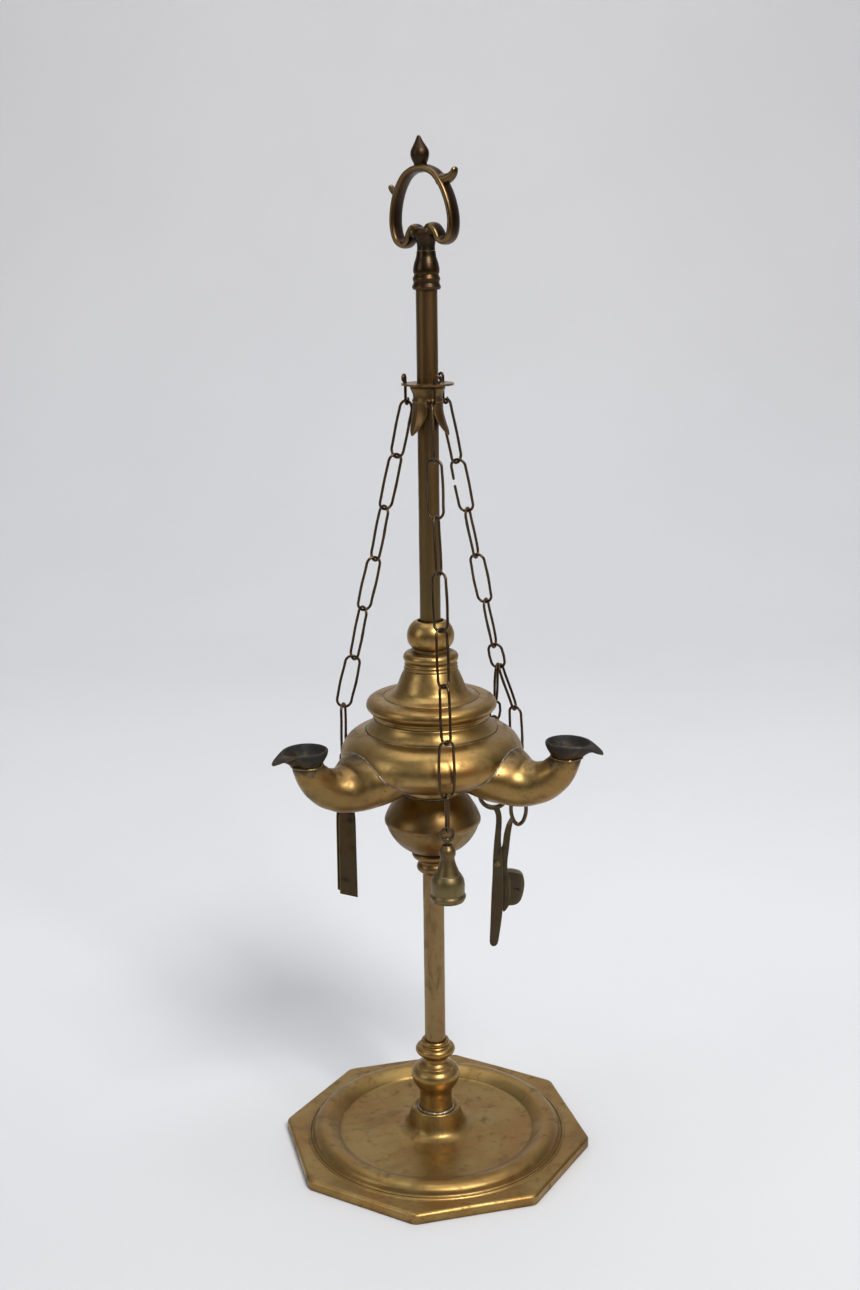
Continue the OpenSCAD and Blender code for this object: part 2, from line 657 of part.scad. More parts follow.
module handle_socket() color(bronze) turned(
    concat(
        [[upper_bore_r, 484], [6.2, 484]],
        curve([[6.8, 484.3], [7.4, 485.4], [6.9, 486.6]]),
        [[6.7, 487.4]],
        curve([[6.8, 488], [7.2, 489.4], [6.7, 490.8]]),
        [[6.3, 491.7]],
        curve([[6.7, 492.6], [6.8, 494.4], [6.2, 497.4], [5.2, 500.6], [4.85, socket_top]])),
    [[tenon_r + gap, socket_top], [tenon_r + gap, 492.1],
        [upper_bore_r, upper_stem_top + gap]]);

// +x half of the loop, from the volute on the head to the crown: [x, z]
loop_half = [[2, 512.8], [5.2, 515.4], [8, 512.6], [9.8, 508.6], [13, 507.4], [16.4, 510.2],
    [17.9, 517.5], [16.8, 526], [13.9, 534], [9.4, 540.4], [4.6, 543.3], [0, 543.9]];
loop_line = curve(concat(loop_half,
    mirrored([for (i = [0 : len(loop_half) - 2]) loop_half[i]])));
loop_last = len(loop_line) - 1;

// half thickness of the loop, thinner at its two ends
function loop_size(i) = let (from_end = min(i, loop_last - i))
    from_end < 2 ? 1.4 + 0.3 * from_end : 2;

// head with its tenon, between the two volutes: [radius, z]
head_outline = concat(
    [[0, 494], [tenon_r, 494], [tenon_r, socket_top + gap]],
    curve([[4.7, socket_top + gap], [4.6, 505.6], [5.0, 508.4], [5.3, 511], [4.4, 513.4],
        [2.4, 514.6]]),
    [[0, 514.8]]);

// thorn on the side of the loop, at x and z; side is +1 or -1 for the way it points
module thorn(x, z, side, length, r) translate([x, 0, z]) rotate([0, side * 46, 0])
    cylinder(r1 = r, r2 = r * 0.45, h = length, $fn = 24);

module leaning() rotate([0, 0, loop_az]) translate([0, 0, lean_z])
    rotate([0, -loop_lean, 0]) translate([0, 0, -lean_z]) children();

module handle_loop() color(bronze) difference() {
    union() {
        turned(head_outline, facets = 48);
        leaning() {
            loft([for (i = [0 : loop_last])
                ring(loop_line, i, loop_size(i), 2.3 * loop_size(i), 12, phase = -90)]);
            thorn(15.2, 535.2, 1, 8.2, 2.8);
            thorn(-14.8, 532.6, -1, 6, 1.9);
        }
    }
    // seat and pin hole of the finial
    leaning() {
        post(z = finial_seat_z, r = 3.7, h = 4);
        post(z = 543, r = finial_pin_r + gap, h = 4);
    }
}

module handle_finial() color(bronze) leaning() turned(
    concat(
        [[0, 543.1], [finial_pin_r, 543.1], [finial_pin_r, finial_seat_z + gap],
            [3.3, finial_seat_z + gap]],
        curve([[3.4, 546.4], [4.3, 548.4], [4.8, 550.6], [4.5, 552.8], [3.3, 555],
            [2.1, 557], [1.3, 558.7], [0.7, 559.8]])),
    [[0, 560.1]]);

base_plate();
base_nut();
foot_knop();
lower_stem();
stem_collar();
knop_lower_bowl();
knop_upper_bowl();
stem_coupling();
upper_stem();
font_body();
font_sleeve();
spouts();
nozzles();
lid();
lid_knob();
leaf_collar();
chain_plate();
handle_socket();
handle_loop();
handle_finial();
hook_front();
hook_left();
hook_right();
link_front_1();
link_front_2();
link_front_3();
link_front_4();
link_front_5();
link_front_6();
link_front_7();
link_front_8();
link_left_1();
link_left_2();
link_left_3();
link_left_4();
link_left_5();
link_left_6();
link_left_7();
link_left_8();
link_right_1();
link_right_2();
link_right_3();
link_right_4();
link_right_5();
link_right_6();
link_right_7a();
link_right_8a();
link_right_9a();
link_right_7b();
link_right_8b();
link_right_9b();
snuffer_loop();
snuffer_bell();
tweezer_ring();
tweezer_rear_blade();
tweezer_front_blade();
trimmer_long_blade();
trimmer_box_blade();
trimmer_pivot();
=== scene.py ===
"""Brass oil lamp on a tall pole: an eight-sided foot, a font with three beaked spouts, a lid,
a carrying loop on top, and a snuffer, tweezers and wick trimmer hung on chains.

Lengths are in millimetres unless a comment says otherwise; meshes are scaled to metres.
The pole is the Z axis and the foot stands on z = 0. Front is -Y, left is -X. Azimuths (az)
are degrees from +X towards +Y. Turned profiles are lists of (radius, z).
"""
import math
import random
import bpy
import bmesh
from mathutils import Vector, Matrix, Euler


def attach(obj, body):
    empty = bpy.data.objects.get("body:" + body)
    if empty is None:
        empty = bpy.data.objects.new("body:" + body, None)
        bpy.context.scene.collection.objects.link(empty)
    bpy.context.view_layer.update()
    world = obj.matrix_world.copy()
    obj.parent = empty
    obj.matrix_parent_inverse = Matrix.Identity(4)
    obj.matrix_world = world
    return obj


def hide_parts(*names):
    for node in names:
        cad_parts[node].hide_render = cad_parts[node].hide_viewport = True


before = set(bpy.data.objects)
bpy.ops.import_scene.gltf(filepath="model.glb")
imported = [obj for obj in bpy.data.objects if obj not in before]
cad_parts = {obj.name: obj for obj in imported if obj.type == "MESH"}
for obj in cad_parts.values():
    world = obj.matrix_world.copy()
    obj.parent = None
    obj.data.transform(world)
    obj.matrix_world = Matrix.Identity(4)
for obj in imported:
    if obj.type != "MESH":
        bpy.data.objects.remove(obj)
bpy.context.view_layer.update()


MM = 0.001
pi = math.pi

# ------------------------------------------------------------------ curves


def catmull(before, start, end, after, t):
    return tuple(0.5 * (2 * b + (c - a) * t + (2 * a - 5 * b + 4 * c - d) * t * t
                        + (3 * b - a - 3 * c + d) * t ** 3)
                 for a, b, c, d in zip(before, start, end, after))


def smooth(points, steps=6):
    """Open curve through the points, with so many steps per span."""
    out = []
    last = len(points) - 1
    for i in range(last):
        for j in range(steps):
            out.append(catmull(points[max(i - 1, 0)], points[i], points[i + 1],
                               points[min(i + 2, last)], j / steps))
    out.append(tuple(points[-1]))
    return out


def smooth_loop(points, steps):
    """Closed curve through the points."""
    m = len(points)
    return [Vector(catmull(points[i - 1], points[i], points[(i + 1) % m],
                           points[(i + 2) % m], j / steps))
            for i in range(m) for j in range(steps)]


def soften(points, rad, closed):
    """Rounds the corners of a 2-D outline with small arcs; gentle turns and the axis stay."""
    min_turn, arc_steps = 24, 3
    out = []
    m = len(points)
    for i in range(m):
        if not closed and i in (0, m - 1):
            out.append(points[i])
            continue
        corner = Vector(points[i])
        back = Vector(points[i - 1]) - corner
        ahead = Vector(points[(i + 1) % m]) - corner
        if back.length < 1e-6 or ahead.length < 1e-6:
            continue
        if math.degrees(back.angle(-ahead)) < min_turn or abs(corner[0]) < 1e-6:
            out.append(tuple(corner))
            continue
        cut = min(rad, 0.42 * back.length, 0.42 * ahead.length)
        start = corner + back.normalized() * cut
        end = corner + ahead.normalized() * cut
        for k in range(arc_steps + 1):
            t = k / arc_steps
            out.append(tuple(start * (1 - t) ** 2 + corner * 2 * t * (1 - t) + end * t * t))
    return out


def resample(points, step, closed=True):
    """Splits each span into pieces no longer than step."""
    out = []
    m = len(points)
    for i in range(m if closed else m - 1):
        a, b = Vector(points[i]), Vector(points[(i + 1) % m])
        pieces = max(1, int(math.ceil((b - a).length / step)))
        for j in range(pieces):
            out.append(tuple(a.lerp(b, j / pieces)))
    if not closed:
        out.append(tuple(points[-1]))
    return out


def lookup(table, x):
    """Linear reading of (x, value) rows, held level beyond both ends."""
    for (x0, y0), (x1, y1) in zip(table, table[1:]):
        if x <= x1:
            return y0 + (y1 - y0) * max(0.0, x - x0) / (x1 - x0)
    return table[-1][1]


def signed_power(value, power):
    return math.copysign(abs(value) ** power, value)


def polar(r, az, z):
    a = math.radians(az)
    return Vector((r * math.cos(a), r * math.sin(a), z))


def turn(points, az):
    spin = Matrix.Rotation(math.radians(az), 3, "Z")
    return [spin @ Vector(p) for p in points]


def flat_ring(r, z, count, rise=0.0, waves=0, phase=0.0, centre=(0, 0)):
    """Level circle that undulates by rise."""
    angles = [2 * pi * k / count for k in range(count)]
    return [Vector((centre[0] + r * math.cos(a), centre[1] + r * math.sin(a),
                    z + rise * math.sin(waves * a + phase))) for a in angles]


def upright_ring(centre, across, r, count):
    """Circle in the plane of Z and the level direction across."""
    angles = [2 * pi * k / count for k in range(count)]
    return [centre + across * (r * math.cos(a)) + Vector((0, 0, r * math.sin(a)))
            for a in angles]


def uneven(r, *waves):
    """Wire radius along 0..1, varied by waves of (size, rate, phase)."""
    return lambda t: r + sum(size * math.sin(rate * t + phase) for size, rate, phase in waves)


# ------------------------------------------------------------------ mesh helpers


def new_object(name, mesh):
    obj = bpy.data.objects.new(name, mesh)
    bpy.context.scene.collection.objects.link(obj)
    return obj


def set_smooth(mesh):
    mesh.polygons.foreach_set("use_smooth", [True] * len(mesh.polygons))


def mesh_object(name, verts, faces, scale=MM):
    mesh = bpy.data.meshes.new(name)
    mesh.from_pydata([tuple(x * scale for x in v) for v in verts], [], faces)
    mesh.validate()
    bm = bmesh.new()
    bm.from_mesh(mesh)
    bmesh.ops.remove_doubles(bm, verts=bm.verts, dist=1e-7)
    bmesh.ops.recalc_face_normals(bm, faces=bm.faces)
    bm.to_mesh(mesh)
    bm.free()
    set_smooth(mesh)
    return new_object(name, mesh)


def join(name, objs):
    bm = bmesh.new()
    for obj in objs:
        bm.from_mesh(obj.data)
    mesh = bpy.data.meshes.new(name)
    bm.to_mesh(mesh)
    bm.free()
    set_smooth(mesh)
    for obj in objs:
        bpy.data.objects.remove(obj)
    return new_object(name, mesh)


def place(obj, body, mat, node=None):
    """Gives a finished piece its material and its body, and hides the CAD node it stands in for.
    """
    obj.data.materials.append(mat)
    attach(obj, body)
    if node:
        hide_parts(node)


def lathe(name, profile, seg=144, rad=0.3, step=1.7, radius=None, closed=True, wobble=0.0):
    """Turned piece. rad softens corners, step is the longest span, radius(r, angle) reshapes."""
    verts, rows = [], []
    for r, z in resample(soften(profile, rad, closed), step, closed):
        if r < 1e-6:
            rows.append([len(verts)] * seg)
            verts.append((0, 0, z))
            continue
        row = []
        for k in range(seg):
            a = 2 * pi * k / seg
            rr = radius(r, a) if radius else r
            if wobble:
                rr += (wobble * math.sin(2 * a + 0.13 * z)
                       + 0.5 * wobble * math.sin(3 * a + 1.3 + 0.31 * z))
            row.append(len(verts))
            verts.append((rr * math.cos(a), rr * math.sin(a), z))
        rows.append(row)
    faces = []
    m = len(rows)
    for i in range(m if closed else m - 1):
        low, high = rows[i], rows[(i + 1) % m]
        for k in range(seg):
            q = (k + 1) % seg
            face = []
            for x in (low[k], low[q], high[q], high[k]):
                if x not in face:
                    face.append(x)
            if len(face) > 2:
                faces.append(face)
    return mesh_object(name, verts, faces)


def loft(name, rings, closed=False):
    """Skin over equal rings; an open loft gets fan caps."""
    n = len(rings[0])
    verts = [tuple(v) for ring in rings for v in ring]
    faces = []
    m = len(rings)
    for i in range(m if closed else m - 1):
        a, b = i * n, ((i + 1) % m) * n
        for k in range(n):
            q = (k + 1) % n
            faces.append((a + k, a + q, b + q, b + k))
    if not closed:
        for base, ring in ((0, rings[0]), ((m - 1) * n, rings[-1])):
            hub = len(verts)
            verts.append(tuple(sum((Vector(v) for v in ring), Vector((0, 0, 0))) / n))
            for k in range(n):
                faces.append((base + k, base + (k + 1) % n, hub))
    return mesh_object(name, verts, faces)


def path_axes(path, closed, start):
    """Unit tangent, side and up along a path, turned as little as possible."""
    m = len(path)
    out = []
    side = start
    for i in range(m):
        if closed:
            tangent = (path[(i + 1) % m] - path[i - 1]).normalized()
        else:
            tangent = (path[min(i + 1, m - 1)] - path[max(i - 1, 0)]).normalized()
        side = (side - tangent * side.dot(tangent)).normalized()
        out.append((tangent, side, tangent.cross(side)))
    return out


def round_end(ring, centre, outward, r):
    return [[centre + (v - centre) * math.cos(x) + outward * (r * math.sin(x)) for v in ring]
            for x in (0.5, 1.0, 1.35)]


def sweep(name, path, side_r, up_r=None, start=Vector((0, 0, 1)), n=12, closed=False):
    """Wire along a path. Its half sizes are numbers or functions of 0..1; open ends are round."""
    path = [Vector(p) for p in path]
    side_at = side_r if callable(side_r) else (lambda t: side_r)
    up_at = side_at if up_r is None else up_r
    axes = path_axes(path, closed, start)
    m = len(path)
    rings = []
    for i, (p, (_, side, up)) in enumerate(zip(path, axes)):
        t = i / (m if closed else m - 1)
        rings.append([p + side * (side_at(t) * math.cos(2 * pi * k / n))
                      + up * (up_at(t) * math.sin(2 * pi * k / n)) for k in range(n)])
    if not closed:
        first = round_end(rings[0], path[0], -axes[0][0], min(side_at(0), up_at(0)))
        last = round_end(rings[-1], path[-1], axes[-1][0], min(side_at(1), up_at(1)))
        rings = first[::-1] + rings + last
    return loft(name, rings, closed=closed)


# ------------------------------------------------------------------ shader helpers


class Nodes:
    """Short calls for building a shader tree; self.coords feeds the textures."""

    def __init__(self, tree):
        self.tree = tree
        self.coords = None

    def add(self, kind, **settings):
        node = self.tree.nodes.new(kind)
        for key, value in settings.items():
            setattr(node, key, value)
        return node

    def link(self, a, b):
        self.tree.links.new(a, b)

    def put(self, sock, value):
        if isinstance(value, bpy.types.NodeSocket):
            self.link(value, sock)
        elif isinstance(value, tuple) and sock.type == "RGBA":
            sock.default_value = (*value, 1)
        else:
            sock.default_value = value

    def noise(self, scale, detail, rough, vec=None, dist=0.0):
        node = self.add("ShaderNodeTexNoise")
        self.link(vec or self.coords, node.inputs["Vector"])
        node.inputs["Scale"].default_value = scale
        node.inputs["Detail"].default_value = detail
        node.inputs["Roughness"].default_value = rough
        node.inputs["Distortion"].default_value = dist
        return node.outputs["Fac"]

    def ramp(self, value, lo, hi, at_lo=0.0, at_hi=1.0):
        node = self.add("ShaderNodeMapRange", interpolation_type="SMOOTHSTEP")
        self.put(node.inputs["Value"], value)
        node.inputs["From Min"].default_value = lo
        node.inputs["From Max"].default_value = hi
        node.inputs["To Min"].default_value = at_lo
        node.inputs["To Max"].default_value = at_hi
        return node.outputs[0]

    def math(self, op, a, b=0.0):
        node = self.add("ShaderNodeMath", operation=op)
        self.put(node.inputs[0], a)
        self.put(node.inputs[1], b)
        return node.outputs[0]

    def times(self, a, b):
        return self.math("MULTIPLY", a, b)

    def plus(self, total, part, weight):
        return self.math("ADD", total, self.times(part, weight))

    def minus(self, total, part, weight):
        return self.math("SUBTRACT", total, self.times(part, weight))

    def centred(self, noise):
        return self.math("SUBTRACT", noise, 0.5)

    def mix(self, fac, a, b):
        node = self.add("ShaderNodeMix", data_type="RGBA", blend_type="MIX")
        self.put(node.inputs[0], fac)
        self.put(node.inputs[6], a)
        self.put(node.inputs[7], b)
        return node.outputs[2]

    def layer(self, below, mask, strength, color):
        return self.mix(self.times(mask, strength), below, color)

    def xyz(self):
        node = self.add("ShaderNodeSeparateXYZ")
        self.link(self.coords, node.inputs[0])
        return node.outputs


class Surface(Nodes):
    """A new material with one Principled shader."""

    def __init__(self, name):
        self.mat = bpy.data.materials.new(name)
        self.mat.use_nodes = True
        super().__init__(self.mat.node_tree)
        self.tree.nodes.clear()
        output = self.add("ShaderNodeOutputMaterial")
        self.bsdf = self.add("ShaderNodeBsdfPrincipled")
        self.link(self.bsdf.outputs[0], output.inputs[0])
        self.coords = self.add("ShaderNodeTexCoord").outputs["Object"]

    def bump(self, height, strength, distance):
        node = self.add("ShaderNodeBump")
        node.inputs["Strength"].default_value = strength
        node.inputs["Distance"].default_value = distance
        self.link(height, node.inputs["Height"])
        self.link(node.outputs[0], self.bsdf.inputs["Normal"])


def shade(color, factor):
    return tuple(c * factor for c in color)


# ------------------------------------------------------------------ materials


def brass(name, *, light, warm, dark, edge, rough, patina, specks, wear, turned=1.0, bump=0.25,
          stain=0.4, green=0.0, soot=None, stretch=None):
    """Aged brass. light and warm are the metal, dark the film, edge the rubbed edges.
    patina, specks, wear, turned (lathe marks), stain and green are strengths.
    soot is (z where it starts, z where it is full, both in metres, strength).
    stretch scales the larger noises along X, Y, Z."""
    t = Surface(name)
    x, y, z = t.xyz()
    radius = t.math("SQRT", t.math("ADD", t.times(x, x), t.times(y, y)))
    vec = None
    if stretch:
        mapping = t.add("ShaderNodeMapping")
        t.link(t.coords, mapping.inputs["Vector"])
        mapping.inputs["Scale"].default_value = stretch
        vec = mapping.outputs[0]
    big = t.noise(scale=34, detail=6, rough=0.6, vec=vec, dist=0.6)
    mid = t.noise(scale=120, detail=6, rough=0.62, vec=vec, dist=0.3)
    fine = t.noise(scale=620, detail=4, rough=0.6)
    grit = t.noise(scale=1900, detail=2, rough=0.5)
    pointiness = t.add("ShaderNodeNewGeometry").outputs["Pointiness"]
    convex = t.ramp(pointiness, lo=0.512, hi=0.56)
    hollow = t.ramp(pointiness, lo=0.49, hi=0.44)
    # lathe marks depend on radius and height only, so they run round the pole
    turned_vec = t.add("ShaderNodeCombineXYZ")
    t.link(radius, turned_vec.inputs[0])
    t.link(z, turned_vec.inputs[1])
    lines = t.noise(scale=1500, detail=2, rough=0.6, vec=turned_vec.outputs[0])
    broad = t.noise(scale=170, detail=3, rough=0.6, vec=turned_vec.outputs[0])

    # colour: film, specks, stains, painted shade mixed with dirt in the crevices, darkened
    # hollows, rubbed edges, lathe bands
    col = t.mix(t.ramp(big, lo=0.36, hi=0.66), light, warm)
    film = t.times(t.ramp(mid, lo=0.50, hi=0.72), patina)
    col = t.mix(film, col, dark)
    col = t.layer(col, t.ramp(fine, lo=0.62, hi=0.74), strength=specks, color=shade(dark, 0.35))
    # painted shade: ambient occlusion darkens crevices and the gaps between parts, mixed with
    # dirt by the noise
    occlusion = t.add("ShaderNodeAmbientOcclusion", samples=6)
    occlusion.inputs["Distance"].default_value = 0.005
    crevice_shade_and_dirt = t.times(t.ramp(occlusion.outputs["AO"], lo=0.85, hi=0.35),
                   t.ramp(mid, lo=0.30, hi=0.62, at_lo=0.55, at_hi=1.0))
    stains = t.noise(scale=17, detail=4, rough=0.6, vec=vec, dist=1.2)
    col = t.layer(col, t.ramp(stains, lo=0.50, hi=0.66), strength=stain,
                  color=tuple((a + b) * 0.5 for a, b in zip(warm, dark)))
    # painted shade and dirt in the crevices
    col = t.layer(col, crevice_shade_and_dirt, strength=0.80, color=shade(dark, 0.35))
    col = t.layer(col, hollow, strength=0.75, color=shade(dark, 0.45))
    col = t.layer(col, convex, strength=wear, color=edge)
    col = t.layer(col, t.ramp(broad, lo=0.35, hi=0.7), strength=0.22 * turned,
                  color=shade(light, 0.7))
    if green:
        verdigris = t.noise(scale=75, detail=5, rough=0.7, dist=1.0)
        col = t.layer(col, t.ramp(verdigris, lo=0.60, hi=0.70), strength=green,
                      color=(0.10, 0.15, 0.10))
    metal = t.minus(1.0, film, weight=0.35)
    if soot:
        soot_lo, soot_hi, soot_strength = soot
        sooty = t.ramp(t.plus(z, t.centred(mid), weight=0.018), lo=soot_lo, hi=soot_hi)
        col = t.layer(col, sooty, strength=soot_strength, color=(0.010, 0.010, 0.009))
        metal = t.times(metal, t.minus(1.0, sooty, weight=0.75 * soot_strength))

    gloss = t.plus(rough - 0.06, mid, weight=0.16)
    gloss = t.plus(gloss, film, weight=0.22)
    gloss = t.plus(gloss, crevice_shade_and_dirt, weight=0.20)
    gloss = t.plus(gloss, t.centred(lines), weight=0.10 * turned)
    gloss = t.minus(gloss, convex, weight=0.06)
    if soot:
        gloss = t.plus(gloss, sooty, weight=0.30)

    height = t.plus(t.times(mid, 0.8), fine, weight=0.30)
    height = t.plus(height, grit, weight=0.10)
    height = t.plus(height, lines, weight=0.10 * turned)
    height = t.minus(height, t.ramp(fine, lo=0.62, hi=0.74), weight=0.35)
    t.bump(height, strength=bump, distance=0.0003)
    t.link(col, t.bsdf.inputs["Base Color"])
    t.link(metal, t.bsdf.inputs["Metallic"])
    t.link(gloss, t.bsdf.inputs["Roughness"])
    return t.mat


def solder():
    t = Surface("solder_grey")
    grain = t.noise(scale=500, detail=4, rough=0.6)
    col = t.mix(t.ramp(grain, lo=0.35, hi=0.65), (0.40, 0.36, 0.30), (0.16, 0.130, 0.095))
    t.link(col, t.bsdf.inputs["Base Color"])
    t.bsdf.inputs["Metallic"].default_value = 0.8
    gloss = t.ramp(grain, lo=0.3, hi=0.7, at_lo=0.35, at_hi=0.6)
    t.link(gloss, t.bsdf.inputs["Roughness"])
    t.bump(grain, strength=0.4, distance=0.0002)
    return t.mat


satin = brass(
    "satin_brass", light=(0.375, 0.250, 0.090), warm=(0.335, 0.190, 0.060),
    dark=(0.118, 0.070, 0.027), edge=(0.62, 0.44, 0.19),
    rough=0.33, patina=0.7, specks=0.75, wear=0.6, bump=0.2, stain=0.6)
horn_mat = brass(
    "horn_brass", light=(0.322, 0.218, 0.080), warm=(0.282, 0.165, 0.056),
    dark=(0.092, 0.057, 0.025), edge=(0.57, 0.41, 0.18),
    rough=0.345, patina=0.7, specks=0.8, wear=0.5, turned=0.0, bump=0.24, stain=0.6,
    soot=(0.2360, 0.2450, 0.90))
foot_mat = brass(
    "foot_brass", light=(0.360, 0.243, 0.086), warm=(0.322, 0.180, 0.056),
    dark=(0.112, 0.068, 0.027), edge=(0.60, 0.43, 0.19),
    rough=0.36, patina=0.75, specks=0.7, wear=0.55, bump=0.16, green=0.25, stain=0.7)
knop_mat = brass(
    "knop_brass", light=(0.250, 0.166, 0.062), warm=(0.228, 0.127, 0.046),
    dark=(0.085, 0.050, 0.022), edge=(0.52, 0.34, 0.15),
    rough=0.34, patina=0.6, specks=0.5, wear=0.6, bump=0.18, stain=0.5)
pole_mat = brass(
    "pole_brass", light=(0.175, 0.125, 0.050), warm=(0.150, 0.086, 0.034),
    dark=(0.060, 0.038, 0.019), edge=(0.38, 0.26, 0.11),
    rough=0.37, patina=0.7, specks=0.5, wear=0.4, turned=0.4, bump=0.16,
    stretch=(1, 1, 0.25), stain=0.6)
low_pole_mat = brass(
    "low_pole_brass", light=(0.285, 0.195, 0.085), warm=(0.245, 0.145, 0.062),
    dark=(0.105, 0.066, 0.032), edge=(0.46, 0.32, 0.15),
    rough=0.38, patina=0.65, specks=0.9, wear=0.3, turned=0.3, bump=0.22,
    stretch=(1, 1, 0.4), stain=0.5)
bronze = brass(
    "dark_bronze", light=(0.048, 0.031, 0.017), warm=(0.066, 0.033, 0.015),
    dark=(0.016, 0.011, 0.008), edge=(0.34, 0.23, 0.095),
    rough=0.31, patina=0.7, turned=0.0, specks=0.4, wear=0.6, bump=0.26, stain=0.5)
wire_mat = brass(
    "chain_wire", light=(0.050, 0.036, 0.022), warm=(0.078, 0.042, 0.019),
    dark=(0.015, 0.011, 0.009), edge=(0.20, 0.13, 0.055),
    rough=0.35, patina=0.8, turned=0.0, specks=0.5, wear=0.25)
nozzle_mat = brass(
    "sooty_brass", light=(0.074, 0.053, 0.027), warm=(0.070, 0.042, 0.021),
    dark=(0.019, 0.016, 0.013), edge=(0.34, 0.23, 0.10),
    rough=0.36, patina=0.9, turned=0.0, specks=0.7, wear=0.6, bump=0.35, green=0.25,
    soot=(0.2445, 0.2505, 0.93))
tool_mat = brass(
    "tool_brass", light=(0.074, 0.059, 0.035), warm=(0.070, 0.047, 0.026),
    dark=(0.022, 0.018, 0.013), edge=(0.22, 0.17, 0.09),
    rough=0.38, patina=0.7, turned=0.0, specks=0.6, wear=0.5, bump=0.34, stain=0.5)
bell_mat = brass(
    "bell_brass", light=(0.190, 0.148, 0.066), warm=(0.170, 0.110, 0.048),
    dark=(0.058, 0.043, 0.023), edge=(0.42, 0.31, 0.14),
    rough=0.40, patina=0.7, turned=0.3, specks=0.6, wear=0.5, bump=0.26, stain=0.5)
tweezer_mat = brass(
    "tweezer_bronze", light=(0.070, 0.052, 0.028), warm=(0.080, 0.050, 0.024),
    dark=(0.020, 0.015, 0.011), edge=(0.22, 0.16, 0.07),
    rough=0.38, patina=0.8, turned=0.0, specks=0.6, wear=0.6, bump=0.32)
nut_mat = brass(
    "nut_brass", light=(0.26, 0.19, 0.085), warm=(0.22, 0.14, 0.060),
    dark=(0.09, 0.060, 0.030), edge=(0.40, 0.30, 0.15),
    rough=0.42, patina=0.7, turned=0.0, specks=0.6, wear=0.5)
solder_mat = solder()

# ------------------------------------------------------------------ foot
FOOT_R = 89             # to the octagon's corners
FOOT_CLIP_R = 88.5      # the corners are blunted here
FOOT_TOP_R = 88.3       # outermost point of the top face, fully octagonal
FOOT_ROUND_R = 74.6     # still round up to here


def foot_radius(r, a):
    if r <= FOOT_ROUND_R:
        return r
    from_flat = (math.degrees(a) + 8) % 45 - 22.5
    octagon = min(FOOT_R * math.cos(pi / 8) / math.cos(math.radians(from_flat)), FOOT_CLIP_R)
    share = min(1.0, (r - FOOT_ROUND_R) / (FOOT_TOP_R - FOOT_ROUND_R))
    return r * (1 - share) + r * octagon / FOOT_R * share


FOOT_UNDER = [
    (6.0, 10.0), (13.4, 10.0), (14, 6.4), (20, 4.4), (54, 3.6), (58.6, 4.6), (62, 7.6),
    (66, 8.4), (70, 6.6), (72.6, 2.4), (78.9, 2.2), (78.9, 0.0), (88.6, 0.0), (89.0, 0.5),
    (89.0, 4.7)]
FOOT_TOP = (
    [(FOOT_TOP_R, 5.55), (87.0, 6.0), (84.0, 5.98), (80, 5.93), (74.7, 5.95), (74.2, 6.15),
     (73.8, 6.6), (73.2, 6.6), (72.95, 6.1), (72.6, 6.1), (72.4, 6.65), (72.0, 6.7)]
    + smooth([(71.6, 7.2), (70.4, 9.6), (68, 11.3), (65, 12), (62, 11.5), (59, 10),
              (56.6, 8.3)], 4)
    + [(55.9, 7.5), (55.2, 7.2), (40, 7.1), (27, 7.4)]
    + smooth([(21.6, 8.1), (18.3, 9.5), (16.6, 11.6), (15.6, 14.2), (14.7, 17.4),
              (13.9, 20.6)], 4)
    + [(13.5, 21.1), (12.5, 21.0), (11, 20.4), (10.0, 19.9), (9.75, 19), (9.75, 17.0),
       (6.0, 17.0)])
place(lathe("foot_plate", FOOT_UNDER + FOOT_TOP, seg=360, rad=0.25, step=2.2,
            radius=foot_radius), "stand", foot_mat, "base_plate")

# ------------------------------------------------------------------ turned pieces of the stand
KNOP_SEAM_Z = 195.5
LOWER_POLE_R = 5.9
UPPER_POLE_R = 5.6

FOOT_KNOP = (
    [(6.0, 17.05), (9.65, 17.05), (9.65, 20.8)]
    + smooth([(9.3, 24), (9.2, 27.4), (9.3, 30.6), (10.3, 33), (12.6, 36.6), (13.9, 40.6),
              (13.4, 43.8), (11.8, 45.9), (10.6, 46.5)])
    + [(10.3, 47.5)]
    + smooth([(8.9, 48.3), (7.6, 49.6), (7.1, 51.4), (7.7, 53.2), (9.2, 54.5)])
    + smooth([(10.6, 55.1), (11.3, 56.4), (11.1, 58), (10, 59.2), (8.5, 59.6)])
    + smooth([(7.9, 60.2), (8.2, 61.3), (7.9, 62.4), (7.4, 63)])
    + [(6.0, 63)])
place(lathe("foot_knop_turned", FOOT_KNOP, rad=0.25, step=1.0),
      "stand", satin, "foot_knop")

boss_ring = sweep("boss_solder", flat_ring(10.15, 20.35, count=96, rise=0.12, waves=5),
                  uneven(0.72, (0.12, 38, 0), (0.07, 90, 0)), n=8, closed=True)
place(boss_ring, "stand", solder_mat)

LOWER_POLE = [(0, 2.4), (5.4, 2.4), (LOWER_POLE_R, 2.9), (LOWER_POLE_R, 193.6), (5.5, 193.9),
              (0, 193.9)]
place(lathe("lower_pole", LOWER_POLE, seg=96, closed=False, step=4, wobble=0.02),
      "stand", low_pole_mat, "lower_stem")
UPPER_POLE = [(0, 194.0), (5.2, 194.0), (UPPER_POLE_R, 194.4), (UPPER_POLE_R, 491.7),
              (5.2, 492.0), (0, 492.0)]
place(lathe("upper_pole", UPPER_POLE, seg=96, closed=False, step=5, wobble=0.02),
      "stand", pole_mat, "upper_stem")

